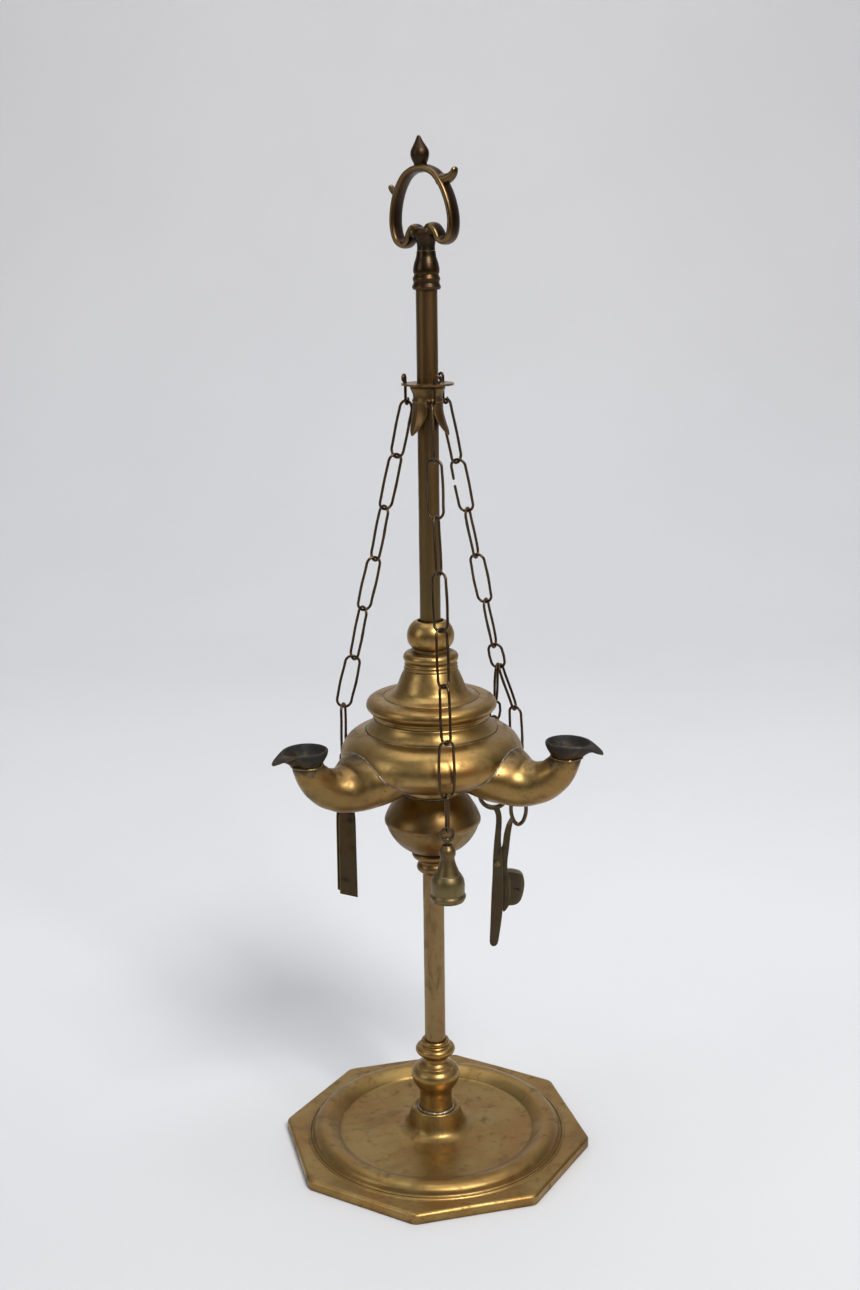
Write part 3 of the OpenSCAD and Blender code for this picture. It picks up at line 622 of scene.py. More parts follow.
COLLAR = (
    [(5.97, 165.5), (6.6, 165.5)]
    + smooth([(7, 166), (8.7, 167.4), (9.2, 169), (8.8, 170.6), (8, 171.8)])
    + [(7.9, 173)]
    + smooth([(8.8, 173.8), (10.9, 175), (11.8, 176.8), (11.4, 178.2), (10.4, 178.95)])
    + [(5.97, 178.95)])
place(lathe("collar_turned", COLLAR, rad=0.15, step=0.8),
      "stand", knop_mat, "stem_collar")

KNOP_LOWER = (
    [(5.97, 179), (10.4, 179)]
    + smooth([(14.2, 180.2), (18.8, 183.6), (22.4, 187.8), (24.8, 192.2), (25.6, 195.2)])
    + [(25.6, KNOP_SEAM_Z), (23.4, KNOP_SEAM_Z), (22.6, 193), (20.4, 189.2), (17.2, 185.4),
       (13.4, 182.3), (5.97, 181.4)])
place(lathe("knop_lower_shell", KNOP_LOWER, rad=0.2, step=1.3),
      "stand", knop_mat, "knop_lower_bowl")
KNOP_UPPER = (
    [(23.6, 195.55), (26.1, 195.55)]
    + smooth([(26.6, 196.2), (26.7, 197.6), (26.2, 199.4), (24.4, 203.4), (21.4, 208.2),
              (18.8, 211.8), (17.9, 213.35)])
    + [(16.2, 213.4), (15.8, 212.9), (15.4, 213.35), (5.7, 213.4), (5.7, 211), (15.6, 210.8),
       (19.4, 206.8), (22.4, 202.2), (24, 198.6)])
place(lathe("knop_upper_shell", KNOP_UPPER, rad=0.2, step=1.3),
      "stand", knop_mat, "knop_upper_bowl")

knop_line = sweep("knop_line", flat_ring(25.85, KNOP_SEAM_Z, count=120, rise=0.06, waves=3),
                  uneven(0.22, (0.07, 52, 0), (0.04, 121, 0)), n=8, closed=True)
place(knop_line, "stand", solder_mat)

# ------------------------------------------------------------------ oil font
FONT_WALL = smooth([
    (17.3, 213.5), (16.9, 214.8), (17.3, 216.8), (19.6, 218.9), (24, 220.1), (30, 221.4),
    (36, 223.2), (41.8, 226), (46.4, 229.4), (49.2, 232.6), (50, 235.6), (49.2, 240),
    (46.4, 244.6), (42.2, 247.8), (37, 249.6)], 6)
FONT = (
    [(8.1, 213.5)] + FONT_WALL
    + [(36.3, 249.75), (36.0, 249.5), (35.8, 250.0), (35.7, 250.8)]
    + smooth([(35.2, 251), (33.7, 252.6), (32.4, 254.8), (31.9, 256.4)], 5)
    + [(31.5, 257), (30, 257), (30, 254), (31.4, 252.4), (35.2, 249.4), (40.6, 246.8),
       (44.8, 243.6), (47.5, 239.4), (48.3, 235.6), (47.5, 233.4), (45, 230.6), (40.8, 227.8),
       (35.4, 225.1), (29.6, 223.3), (23.6, 222), (18.2, 220.6), (15.6, 218.2), (15.2, 215.4),
       (8.1, 215.4)])
place(lathe("font_shell", FONT, seg=220, rad=0.22, step=1.3, wobble=0.03),
      "font", satin, "font_body")

# ------------------------------------------------------------------ spouts
NECK_REACH = 79         # from the pole to a nozzle's axis
NECK_Z = 243.45         # where the nozzle meets its spout
SPOUT_AZ = (214, 334, 94)       # left, right, rear
# distance from the pole, z, half width, half height
SPOUT = smooth([
    (20, 234, 24, 12.6), (31, 232.4, 26, 14.8), (44, 228.4, 22, 15), (54, 225.8, 16.5, 13),
    (62.5, 226.8, 12.4, 11.5), (69.5, 230.2, 10.3, 10.2), (75, 235.6, 8.9, 9),
    (77.9, 240.8, 8.1, 8.2), (78.8, 243.4, 8.0, 8.05), (NECK_REACH, 244.6, 8.0, 8.0)], 6)


def spout_ring(i, az, n=64):
    """Elliptical section at station i of a spout that points along +X, a little uneven."""
    out, z, half_width, half_height = SPOUT[i]
    before, after = SPOUT[max(i - 1, 0)], SPOUT[min(i + 1, len(SPOUT) - 1)]
    ahead = Vector((after[0] - before[0], after[1] - before[1])).normalized()
    ring = []
    for k in range(n):
        c, s = math.cos(2 * pi * k / n), math.sin(2 * pi * k / n)
        v = Vector((out - ahead[1] * half_height * s, -half_width * c,
                    z + ahead[0] * half_height * s))
        v.z += 0.10 * math.sin(0.9 * i + 0.35 * k + az)
        ring.append(v)
    return ring


def font_seam(rings):
    """Where each lengthwise line of a spout leaves the font wall."""
    wall = [(z, r) for r, z in FONT_WALL]
    seam = []
    for k in range(len(rings[0])):
        last_v = last_gap = None
        for ring in rings:
            v = ring[k]
            gap = math.hypot(v.x, v.y) - lookup(wall, v.z)
            if last_v is not None and gap > 0 >= last_gap:
                seam.append(last_v.lerp(v, last_gap / (last_gap - gap)))
                break
            last_v, last_gap = v, gap
    return seam


def seam_bead(rings, az):
    seam = font_seam(rings)
    m = len(seam)
    path = []
    for i in range(m):
        p = seam[i - 1] * 0.25 + seam[i] * 0.5 + seam[(i + 1) % m] * 0.25
        path.append(Vector((p.x * 1.002, p.y * 1.002, p.z)))
    phase = random.Random(az).random() * 6
    return sweep("seam", turn(smooth_loop(path, 3), az),
                 uneven(0.42, (0.10, 40, phase), (0.07, 93, 2 * phase)), n=8, closed=True)


def neck_bead(az):
    ring = flat_ring(8.25, NECK_Z, count=72, rise=0.12, waves=3, phase=az,
                     centre=(NECK_REACH, 0))
    return sweep("neck", turn(ring, az), uneven(0.55, (0.14, 31, az), (0.08, 75, az)), n=8,
                 closed=True)


spouts, seams = [], []
for az in SPOUT_AZ:
    rings = [spout_ring(i, az) for i in range(len(SPOUT))]
    spouts.append(loft("spout", [turn(ring, az) for ring in rings]))
    seams.append(seam_bead(rings, az))
place(join("spout_horns", spouts), "font", horn_mat, "spouts")
# solder lines at the font's base and under its neck: radius, z, thickness
for r, z, thick in ((17.45, 213.75, 0.26), (36.35, 249.72, 0.2)):
    seams.append(sweep("seam", flat_ring(r, z, count=120, rise=0.05, waves=4),
                       uneven(thick, (0.07, 44, r), (0.04, 97, 0)), n=8, closed=True))
place(join("solder_seams", seams), "font", solder_mat)

# ------------------------------------------------------------------ nozzles
# Each is first built round the Z axis with its beak along +X.
NOZZLE_R = 11.4
BEAK_REACH = 20.3
RIM_Z = 252.0
BEAK_BASE_X = 8         # the rim droops beyond this
BORE_R = 6.0
BASIN_R = 6.5           # inner edge of the basin floor
# half outline of the beak seen from above: x, y
BEAK = smooth([(0, NOZZLE_R), (4, 10.9), (8, 9.1), (12, 6.5), (15.4, 4.4), (18.0, 3.0),
               (19.6, 1.9), (20.2, 0.9), (BEAK_REACH, 0)], 8)
# wick bore from its closed bottom to the basin: radius, z
BORE = ((0.01, 236.0), (5.9, 236.0), (BORE_R, 236.6), (BORE_R, 243.0), (BORE_R, 246.6),
        (6.15, 247.0), (BASIN_R, 247.15))
# basin: share of the way to the mouth, z
BASIN = ((0.12, 247.3), (0.3, 247.7), (0.45, 248.3), (0.6, 249.0), (0.75, 249.9),
         (0.88, 250.8), (1.0, 251.45))
# rounded lip: share of the way from inner to outer edge, height over the rim line
LIP = ((0.16, -0.16), (0.3, 0.0), (0.5, 0.06), (0.68, 0.03), (0.82, -0.10), (0.93, -0.36),
       (1.0, -0.8))
# outer wall by share of the way down: z, and share of the nozzle radius
CUP_Z = [(0.0, 251.0), (0.15, 250.1), (0.3, 249.1), (0.45, 248.0), (0.6, 246.9),
         (0.75, 245.7), (0.88, 244.6), (1.0, NECK_Z)]
CUP_WIDTH = [(0.0, 1.0), (0.15, 0.985), (0.3, 0.955), (0.45, 0.91), (0.6, 0.855),
             (0.75, 0.79), (0.88, 0.735), (1.0, 0.705)]
# beak: distance from the nozzle axis, depth of metal below the rim
BEAK_DEPTH = [(7, 8.55), (8, 8.4), (9.5, 7.2), (11, 5.7), (13, 4.0), (15, 2.75), (17, 2.0),
              (18.5, 1.7), (BEAK_REACH, 1.5)]


def rim_point(a):
    """Outer rim in direction a: a circle behind, the beak outline in front."""
    on_circle = Vector((NOZZLE_R * math.cos(a), NOZZLE_R * math.sin(a), 0))
    if abs(a) >= pi / 2:
        return on_circle
    sign = 1 if a >= 0 else -1
    dx, dy = math.cos(a), abs(math.sin(a))
    for p, q in zip(BEAK, BEAK[1:]):
        ex, ey = q[0] - p[0], q[1] - p[1]
        det = dx * ey - dy * ex
        if abs(det) < 1e-9:
            continue
        reach = (p[0] * ey - p[1] * ex) / det
        along_span = (p[0] * dy - p[1] * dx) / det
        if reach > 0 and -1e-6 <= along_span <= 1 + 1e-6:
            return Vector((dx * reach, sign * dy * reach, 0))
    return on_circle


def nozzle_rim(count=160):
    """The rim's points, closer together at the beak."""
    rim = []
    for k in range(count):
        a = 2 * pi * k / count
        a = a if a <= pi else a - 2 * pi
        rim.append(rim_point(pi * signed_power(a / pi, 1.5)))
    return rim


def rim_z(x):
    if x < BEAK_BASE_X:
        return RIM_Z
    return RIM_Z - 4.2 * ((x - BEAK_BASE_X) / 12.3) ** 1.8


def mouth_r(v):
    """Inner edge of the lip in the direction of v, further out towards the beak."""
    forward = max(0.0, v.x / v.length)
    return min(v.length - 1.5, 9.9 + 2.6 * forward ** 5)


def bore_point(v, r, z):
    a = math.atan2(v.y, v.x)
    return Vector((r * math.cos(a), r * math.sin(a), z))


def basin_point(v, share, z):
    p = v.normalized() * (BASIN_R + (mouth_r(v) - BASIN_R) * share)
    p.z = z + (rim_z(p.x) - RIM_Z) * share
    return p


def lip_point(v, share, lift):
    """Most of the turn lies in a narrow edge at either side."""
    inner, outer = mouth_r(v), v.length
    edge = min(0.75, (outer - inner) / 2)
    if share < 0.5:
        r = inner + edge * share / 0.5
    elif share == 0.5:
        r = inner + edge + (outer - edge - inner - edge) * 0.5
    else:
        r = outer - edge * (1 - share) / 0.5
    p = v.normalized() * r
    p.z = rim_z(p.x) + lift
    return p


def wall_point(v, share):
    """Round cup wall, which blends into the underside of the beak."""
    blend_start, blend_width = 11.45, 2.6
    ahead, outer = v.normalized(), v.length
    p = ahead * (NOZZLE_R * lookup(CUP_WIDTH, share))
    p.z = lookup(CUP_Z, share)
    if outer <= blend_start:
        return p
    blend = min(1.0, (outer - blend_start) / blend_width)
    blend = blend * blend * (3 - 2 * blend)
    r = outer + (8.0 - outer) * share
    under = ahead * r
    under.z = NECK_Z
    if share < 1:
        depth = lookup(BEAK_DEPTH, r * (BEAK_REACH / outer)) * min(1.0, 0.55 + share * 3)
        under.z = max(NECK_Z, rim_z(under.x) - depth)
    return p.lerp(under, blend)


def nozzle(az):
    rim = nozzle_rim()
    rings = [[bore_point(v, r, z) for v in rim] for r, z in BORE]
    rings += [[basin_point(v, share, z) for v in rim] for share, z in BASIN]
    rings += [[lip_point(v, share, lift) for v in rim] for share, lift in LIP]
    for share in [0.07] + [share for share, _ in CUP_Z[1:]]:
        rings.append([wall_point(v, share) for v in rim])
    rings.append([Vector((7.4 * v.normalized().x, 7.4 * v.normalized().y, 243.3))
                  for v in rim])
    return loft("nozzle", [turn([Vector((p.x + NECK_REACH, p.y, p.z)) for p in ring], az)
                           for ring in rings])


place(join("wick_nozzles", [nozzle(az) for az in SPOUT_AZ]),
      "font", nozzle_mat, "nozzles")
place(join("neck_joints", [neck_bead(az) for az in SPOUT_AZ]),
      "font", nozzle_mat)

# ------------------------------------------------------------------ lid
LID = (
    [(28.2, 250.5), (29.5, 250.5), (29.5, 257.1), (31.5, 257.1), (31.7, 258.5), (32.4, 258.9),
     (32.6, 260), (33.4, 260.4)]
    + smooth([(34.3, 261.1), (35.4, 262.6), (35.5, 264.2), (34.4, 266.4), (31.4, 267.9),
              (26.6, 268.3)])
    + [(26.3, 267.95), (26.0, 267.95), (25.7, 268.4)]
    + smooth([(22.4, 269.8), (19.7, 272.1), (18.2, 275), (17, 278), (15.7, 281), (14.7, 283)])
    + smooth([(14.3, 283.5), (14.8, 284.3), (14.2, 285.1)], 4)
    + smooth([(14.1, 285.5), (14.5, 286.3), (13.9, 287.1)], 4)
    + smooth([(13.8, 287.6), (14.8, 289), (14.9, 290.8), (13.8, 292.4), (11.6, 293.2)], 5)
    + [(9.5, 293.5), (9.4, 294.95), (5.7, 294.95), (5.7, 291.4), (12.4, 291), (12.8, 287),
       (13.3, 282.6), (14.9, 278.4), (16.4, 274.2), (18.4, 270.6), (21.4, 268.2), (25, 266.4),
       (28.2, 263)])
place(lathe("lid_bell", LID, seg=180, rad=0.15, step=1.1, wobble=0.02),
      "lid", satin, "lid")
LID_BALL = (
    [(6.9, 295), (9.4, 295)]
    + smooth([(10.4, 295.6), (12.2, 298.2), (12.8, 301.4), (12.4, 304.6), (11, 307.6),
              (9, 309.6), (7.8, 310.2)])
    + [(6.9, 310.2)])
place(lathe("lid_ball", LID_BALL, rad=0.4, step=1.0), "lid", satin, "lid_knob")

# ------------------------------------------------------------------ leaf collar
LEAF_TIP_Z = 410.0
LEAF_COLLAR = (
    [(5.68, 425.8), (6.9, 425.8)]
    + smooth([(7.6, 426.4), (8.2, 427.5), (7.9, 428.6)], 4)
    + smooth([(7.7, 429.2), (7.8, 430.6), (8.3, 432.2), (9.0, 433.6)], 4)
    + [(9.2, 434), (9.2, 435.6), (5.68, 435.6)])
# height above the tip, half width
LEAF = smooth([(17.6, 4.9), (13, 5.4), (8, 4.6), (3, 2.6), (0.2, 0.25)], 5)
# radius of the leaf's face, z: the tips flare outwards
LEAF_FLARE = smooth([(7.9, 427.6), (8.1, 422), (9.5, 416), (12.2, 410.1)], 6)


def leaf(az):
    flare = [(z, r) for r, z in LEAF_FLARE][::-1]
    rings = []
    for height, half_width in LEAF:
        z = LEAF_TIP_Z + height
        face_r = lookup(flare, z)
        front, back = [], []
        for j in range(-6, 7):
            q = j / 6
            a = math.radians(az) + math.asin(max(-1, min(1, q * half_width / face_r)))
            curled_edge = 0.25 * abs(q) ** 3
            rib = 0.35 * math.exp(-(q * 5) ** 2)
            for row, r in ((front, face_r + (rib + curled_edge)),
                           (back, face_r - 0.75 + curled_edge)):
                row.append(Vector((r * math.cos(a), r * math.sin(a), z)))
        rings.append(front + back[::-1])
    return loft("leaf", rings)


leaf_parts = [lathe("leaf_ring", LEAF_COLLAR, rad=0.2, step=0.8, seg=96)]
leaf_parts += [leaf(az) for az in (-28, 99, 226)]
place(join("leaf_collar_cast", leaf_parts), "plate", pole_mat, "leaf_collar")

# ------------------------------------------------------------------ hooks and chains
WIRE_R = 0.75
WIRE = 2 * WIRE_R
PLAY = 0.15             # slack between two links
PITCH = 29.0            # from joint to joint
HOOK_R = 11.8           # the chains start at this radius
HANG_R = 53.2           # and swing out to this one after six links
HOOK_Z = 425.6          # centre of the hook's lower curl
HOOK_SEAT_Z = 436.8     # underside of the wire in the upper bend
CURL_R = 1.9
BEND_R = 1.7
TILT = math.asin((HANG_R - HOOK_R) / (6 * PITCH))
FRONT_AZ, LEFT_AZ, RIGHT_AZ = -82, 158, 38


def along(az, distance):
    """Point on the sloping part of a chain."""
    return polar(HOOK_R + distance * math.sin(TILT), az, HOOK_Z - distance * math.cos(TILT))


def chain_joints(az, last):
    """Six sloping links, one upright, and a last one of its own length."""
    end = along(az, 6 * PITCH)
    return ([along(az, k * PITCH) for k in range(7)]
            + [end - Vector((0, 0, PITCH)), end - Vector((0, 0, PITCH + last))])


def arc(centre, r, start, end, steps):
    angles = [math.radians(start + (end - start) * i / steps) for i in range(steps + 1)]
    return [(centre[0] + r * math.cos(a), centre[1] + r * math.sin(a)) for a in angles]


def hook(side, az):
    """Wire S: an upper bend, a straight shank and the lower curl that carries the chain."""
    top = HOOK_SEAT_Z + WIRE_R + BEND_R
    low = HOOK_Z + CURL_R
    points = (arc((CURL_R + BEND_R, top), BEND_R, -80, 180, 20)[:-1]
              + [(CURL_R, top - (top - low) * k / 8) for k in range(9)]
              + arc((0, low), CURL_R, 0, -210, 18)[1:])
    radial, tangential = polar(1, az, 0), polar(1, az + 90, 0)
    path = [radial * HOOK_R + tangential * u + Vector((0, 0, z)) for u, z in points]
    wire = sweep(f"hook_{side}_wire", path,
                 lambda t: WIRE_R * (1 - 0.25 * max(0, abs(2 * t - 1) - 0.8) / 0.2),
                 start=radial, n=14)
    place(wire, f"hook_{side}", wire_mat, f"hook_{side}")


def link_outline(half, end_r, bow):
    """Centre line of a link as (across, up); bow swells its long sides."""
    bend_steps, side_steps = 16, 10
    straight = half - end_r
    points = []
    for start, sign in ((0, 1), (pi, -1)):
        for i in range(bend_steps + 1):
            a = start + pi * i / bend_steps
            points.append((end_r * math.cos(a), sign * straight + end_r * math.sin(a)))
        for i in range(1, side_steps):
            up = sign * (straight - 2 * straight * i / side_steps)
            swell = bow * math.cos(up / straight * pi / 2) ** 2
            points.append((-sign * (end_r + swell), up))
    return points


def link(part, top, bottom, az, width=9.5, gap=None, play=PLAY):
    """One wire link between two joints. gap is the outline point left out of an open link."""
    name = part + "_wire"
    draw = random.Random(name)
    up = (top - bottom).normalized()
    crown = top + up * (WIRE + play)
    level = polar(1, az, 0)
    across = (level - up * level.dot(up)).normalized()
    normal = up.cross(across)
    half = (crown - bottom).length / 2
    centre = (crown + bottom) / 2
    bow = 0.15 + 0.2 * draw.random()
    skew = 0.25 * (draw.random() - 0.5)
    path = []
    for u, v in link_outline(half, (width - WIRE) / 2, bow):
        bend = math.sin(v / half * pi)
        path.append(centre + across * (u + skew * bend) + up * v + normal * (0.12 * bend))
        draw.random()       # one draw per point is passed over; it sets where the joint falls
    if gap is None:
        joint = draw.randrange(18, 24) / len(path)
        wire = sweep(name, path,
                     lambda t: WIRE_R * (1.0 + 0.10 * math.exp(-((t - joint) * 60) ** 2)),
                     start=normal, closed=True)
    else:
        wire = sweep(name, path[gap + 1:] + path[:gap], WIRE_R, start=normal)
    place(wire, part, wire_mat, part)


def long_chain(side, az, last, turns, first_width=9.5):
    """Eight links; turns are their headings relative to the chain's azimuth."""
    hook(side, az)
    joints = chain_joints(az, last)
    widths = [first_width] + [9.5] * 6 + [7.5]
    for k in range(8):
        link(f"link_{side}_{k + 1}", joints[k], joints[k + 1], az + turns[k], widths[k])
    return joints[-1]


snuffer_joint = long_chain("front", FRONT_AZ, last=18.6, turns=[-3 + 78 * k for k in range(8)])
tweezer_joint = long_chain("left", LEFT_AZ, last=16.6,
                           turns=[-23, 57, -33, 50, -35, 25, 98, 160], first_width=10.5)

# the right chain: six links of their own pitches, then two branches down to the trimmer
hook("right", RIGHT_AZ)
RIGHT_PITCHES = [33, 27.8, 26.8, 26.8, 27.3, 13]
RIGHT_TURNS = [12, 122, 32, 122, 32, 122]
right_joints = [along(RIGHT_AZ, sum(RIGHT_PITCHES[:k])) for k in range(7)]
for k in range(6):
    link(f"link_right_{k + 1}", right_joints[k], right_joints[k + 1],
         RIGHT_AZ + RIGHT_TURNS[k], gap=48 if k == 1 else None, play=0.35 if k == 0 else PLAY)
fork = right_joints[6] + Vector((0, 0, 0.3))
fork_side = polar(1, 160, 0) * 1.15
# branch, joints from the fork down, headings, link widths
BRANCHES = (
    ("a", (fork + fork_side, (36.5, 38.8, 251.5), (36.2, 38.9, 242.5), (35.3, 35, 203.8)),
     (75, 0, 122), (8, 7, 9.5)),
    ("b", (fork - fork_side, (47.3, 27.6, 251.5), (48.6, 31, 224.6), (49.9, 35, 202.6)),
     (70, 140, 65), (8, 9.5, 8)))
for tag, joints, headings, widths in BRANCHES:
    for i in range(3):
        link(f"link_right_{7 + i}{tag}", Vector(joints[i]), Vector(joints[i + 1]),
             headings[i], widths[i])

# ------------------------------------------------------------------ snuffer
SNUFFER_EYE_R = 3.35
snuffer_x, snuffer_y = snuffer_joint.x, snuffer_joint.y
eye_z = snuffer_joint.z + WIRE + PLAY - SNUFFER_EYE_R
facing = polar(1, FRONT_AZ + 90, 0)
eye = sweep("snuffer_ring",
            upright_ring(Vector((snuffer_x, snuffer_y, eye_z)), facing, SNUFFER_EYE_R, 48),
            lambda t: 0.85 + 0.30 * max(0, -math.sin(2 * pi * t)) ** 2,
            start=polar(1, FRONT_AZ, 0), n=14, closed=True)
shank = sweep("snuffer_shank",
              [Vector((snuffer_x, snuffer_y, z)) for z in (195.2, 197, 199, 201, 203, 204.4)],
              lambda t: 1.2 + 1.2 * max(0, t - 0.75), start=facing, n=20)
place(join("snuffer_eye", [eye, shank]), "snuffer", tool_mat, "snuffer_loop")

BELL_INSIDE = [(0.0, 187.6), (3.6, 186), (6.2, 183), (7.5, 179), (7.8, 174), (7.9, 170.7)]
BELL_OUTSIDE = (
    [(8.7, 170.7), (9.0, 171.5)]
    + smooth([(9.5, 172.2), (9.6, 173.4), (9.0, 174.5)], 4)
    + [(8.75, 175.0)]
    + smooth([(8.95, 176.4), (9, 179.6), (8.5, 182.6), (7.1, 185.2)], 5)
    + [(6.6, 185.35), (6.35, 185.9)]
    + smooth([(5.7, 187.6), (4.5, 190.8), (3.8, 193.4), (3.75, 195)], 5)
    + smooth([(4.2, 196), (4.4, 197.3), (4, 199.2), (3, 200.8)], 5)
    + [(2.6, 201.6), (1.25, 201.6), (1.25, 195.0), (0.0, 195.0)])
bell = lathe("snuffer_cone", BELL_INSIDE + BELL_OUTSIDE, seg=96, rad=0.2, step=0.9,
             closed=False)
bell.data.transform(Matrix.Translation(Vector((snuffer_x, snuffer_y, 0)) * MM))
place(bell, "snuffer", bell_mat, "snuffer_bell")
bell_line = sweep("snuffer_line",
                  flat_ring(6.72, 185.42, count=60, centre=(snuffer_x, snuffer_y)),
                  uneven(0.19, (0.05, 40, 0)), n=8, closed=True)
place(bell_line, "snuffer", solder_mat)

# ------------------------------------------------------------------ tweezers
TWEEZER_RING_R = 4.4
BLADE_HALF = 0.45       # half thickness of the strip
BLADE_BEND_R = 2.3      # bend over the ring, and each leaf's offset
BLADE_LENGTH = 59.0     # nominal, before the tip is cut
TIP_START = 40          # the oblique tip is drawn out from here down
TIP_SPAN = BLADE_LENGTH - TIP_START
# distance below the bend, half width
BLADE_WIDTH = smooth([(0, 2.0), (3, 2.2), (7.5, 4.0), (12, 5.0), (30, 5.2), (64, 5.35)], 4)
blade_across, blade_normal = polar(1, 200, 0), polar(1, 290, 0)
ring_z = tweezer_joint.z + WIRE + PLAY - TWEEZER_RING_R
ring_centre = Vector((tweezer_joint.x, tweezer_joint.y, ring_z))
blade_top = Vector((tweezer_joint.x, tweezer_joint.y, ring_z - TWEEZER_RING_R - BLADE_HALF))
place(sweep("tweezer_ring_wire", upright_ring(ring_centre, blade_across, TWEEZER_RING_R, 48),
            WIRE_R, start=blade_normal, closed=True),
      "tweezer_ring", wire_mat, "tweezer_ring")


def blade(name, side, length_a, length_b, with_bend):
    """One leaf on the given side of blade_normal. length_a and length_b are its lengths at the
    edges towards and away from blade_across."""
    centre = []         # offset along the normal, z from the top, distance down the leaf
    if with_bend:
        for i in range(13):
            a = pi * i / 13
            centre.append((BLADE_BEND_R * math.cos(a) * -side, BLADE_BEND_R * math.sin(a), 0.0))
    for i in range(31):
        down = BLADE_LENGTH * i / 30
        belly = 1.0 - 0.06 * math.sin(pi * down / BLADE_LENGTH)
        centre.append((BLADE_BEND_R * side * belly, -down, down))
    rings = []
    n = 20
    m = len(centre)
    for i, (offset, z, down) in enumerate(centre):
        before, after = centre[max(i - 1, 0)], centre[min(i + 1, m - 1)]
        tangent = (blade_normal * (after[0] - before[0])
                   + Vector((0, 0, after[1] - before[1]))).normalized()
        normal = tangent.cross(blade_across).normalized()
        half_width = lookup(BLADE_WIDTH, down)
        middle = blade_top + blade_normal * offset + Vector((0, 0, z))
        ring = []
        for k in range(n):
            x = half_width * signed_power(math.cos(2 * pi * k / n), 0.35)
            depth = BLADE_HALF * signed_power(math.sin(2 * pi * k / n), 0.5)
            crown = 0.10 * (1 - (x / half_width) ** 2) * side
            p = middle + blade_across * x + normal * (depth + crown)
            if down > TIP_START:
                end = ((length_a + length_b) / 2
                       + (length_a - length_b) / 2 * (x / half_width))
                tip_down = (down - TIP_START) * (end - TIP_START) / TIP_SPAN
                p.z = blade_top.z - (TIP_START + tip_down)
            ring.append(p)
        rings.append(ring)
    return loft(name, rings)


place(blade("tweezer_leaf_rear", -1, length_a=56.4, length_b=59.4, with_bend=True),
      "tweezers", tweezer_mat, "tweezer_rear_blade")
place(blade("tweezer_leaf_front", 1, length_a=57.0, length_b=61.0, with_bend=False),
      "tweezer_front", tweezer_mat, "tweezer_front_blade")

# ------------------------------------------------------------------ wick trimmer
TRIMMER_Y = 35.0        # the plane where the two levers meet
LEVER_THICK = 1.65
Y_AXIS = Vector((0, 1, 0))


def plate(name, outline, y0, bevel):
    """Flat forged lever in the XZ plane, with softened edges."""
    bm = bmesh.new()
    face = bm.faces.new([bm.verts.new((x * MM, y0 * MM, z * MM)) for x, z in outline])
    extruded = bmesh.ops.extrude_face_region(bm, geom=[face])
    bmesh.ops.translate(
        bm, verts=[g for g in extruded["geom"] if isinstance(g, bmesh.types.BMVert)],
        vec=(0, LEVER_THICK * MM, 0))
    bmesh.ops.recalc_face_normals(bm, faces=bm.faces)
    edges = [e for e in bm.edges if len(e.link_faces) == 2 and e.calc_face_angle(0) > 1.0
             and abs(e.verts[0].co.y - e.verts[1].co.y) < 1e-6]
    bmesh.ops.bevel(bm, geom=edges, offset=bevel * MM, segments=3, affect="EDGES",
                    profile=0.6, clamp_overlap=True)
    bmesh.ops.triangulate(bm, faces=[f for f in bm.faces if len(f.verts) > 4])
    mesh = bpy.data.meshes.new(name)
    bm.to_mesh(mesh)
    bm.free()
    return new_object(name, mesh)


def sharpen_edges(obj, angle=38):
    bm = bmesh.new()
    bm.from_mesh(obj.data)
    for e in bm.edges:
        e.smooth = not (len(e.link_faces) == 2 and e.calc_face_angle(0) > math.radians(angle))
    bm.to_mesh(obj.data)
    bm.free()


# lever outlines: x, z
LONG_LEVER = (
    smooth([(34.6, 191), (36.4, 186.6), (36.6, 181), (35.6, 170), (34.9, 160), (34.6, 150),
            (33.9, 136), (33.3, 120), (32.8, 108)], 4)
    + smooth([(32.9, 106.4), (33.7, 104.9), (35.2, 104.3), (36.7, 104.9), (37.6, 106.2)], 3)
    + smooth([(38, 108), (39.2, 116), (40.4, 126), (40.9, 137), (40.9, 148), (40.4, 160),
              (39.6, 170), (40, 181), (39.8, 186.6), (38.4, 191.4)], 4))
long_plate = plate("long", LONG_LEVER, TRIMMER_Y - 1.7, bevel=0.45)
long_eye = sweep("eye", upright_ring(Vector((35.3, TRIMMER_Y, 198.4)), Vector((1, 0, 0)), 8, 64),
                 lambda t: 1.15 + 0.35 * max(0, -math.sin(2 * pi * t)) ** 3,
                 start=Y_AXIS, n=14, closed=True)
long_lever = join("trimmer_lever_long", [long_plate, long_eye])
sharpen_edges(long_lever)
place(long_lever, "trimmer", tool_mat, "trimmer_long_blade")

BOX_LEVER = (
    smooth([(45.2, 184), (42.9, 179.6), (41.3, 173.4), (40.2, 166), (36.6, 160.2), (35.2, 157),
            (36.4, 153.4)], 4)
    + [(40, 148), (40.5, 138), (40.6, 126.2), (41.2, 125.2), (42.6, 126.6), (44.4, 129.6)]
    + smooth([(44.4, 138), (43.4, 152), (43.5, 158), (44.3, 164.6), (45.2, 173.4),
              (46.4, 180.6), (47.4, 182.4)], 4))
TRAY = smooth([
    (42.6, 129.3), (45.2, 129.1), (47.8, 129.5), (49.9, 130.7), (51.7, 133.4), (52.9, 138),
    (53.4, 143), (52.8, 146.6), (50.9, 149), (47.6, 150.1), (45, 150.4), (42.6, 150.4)], 3)
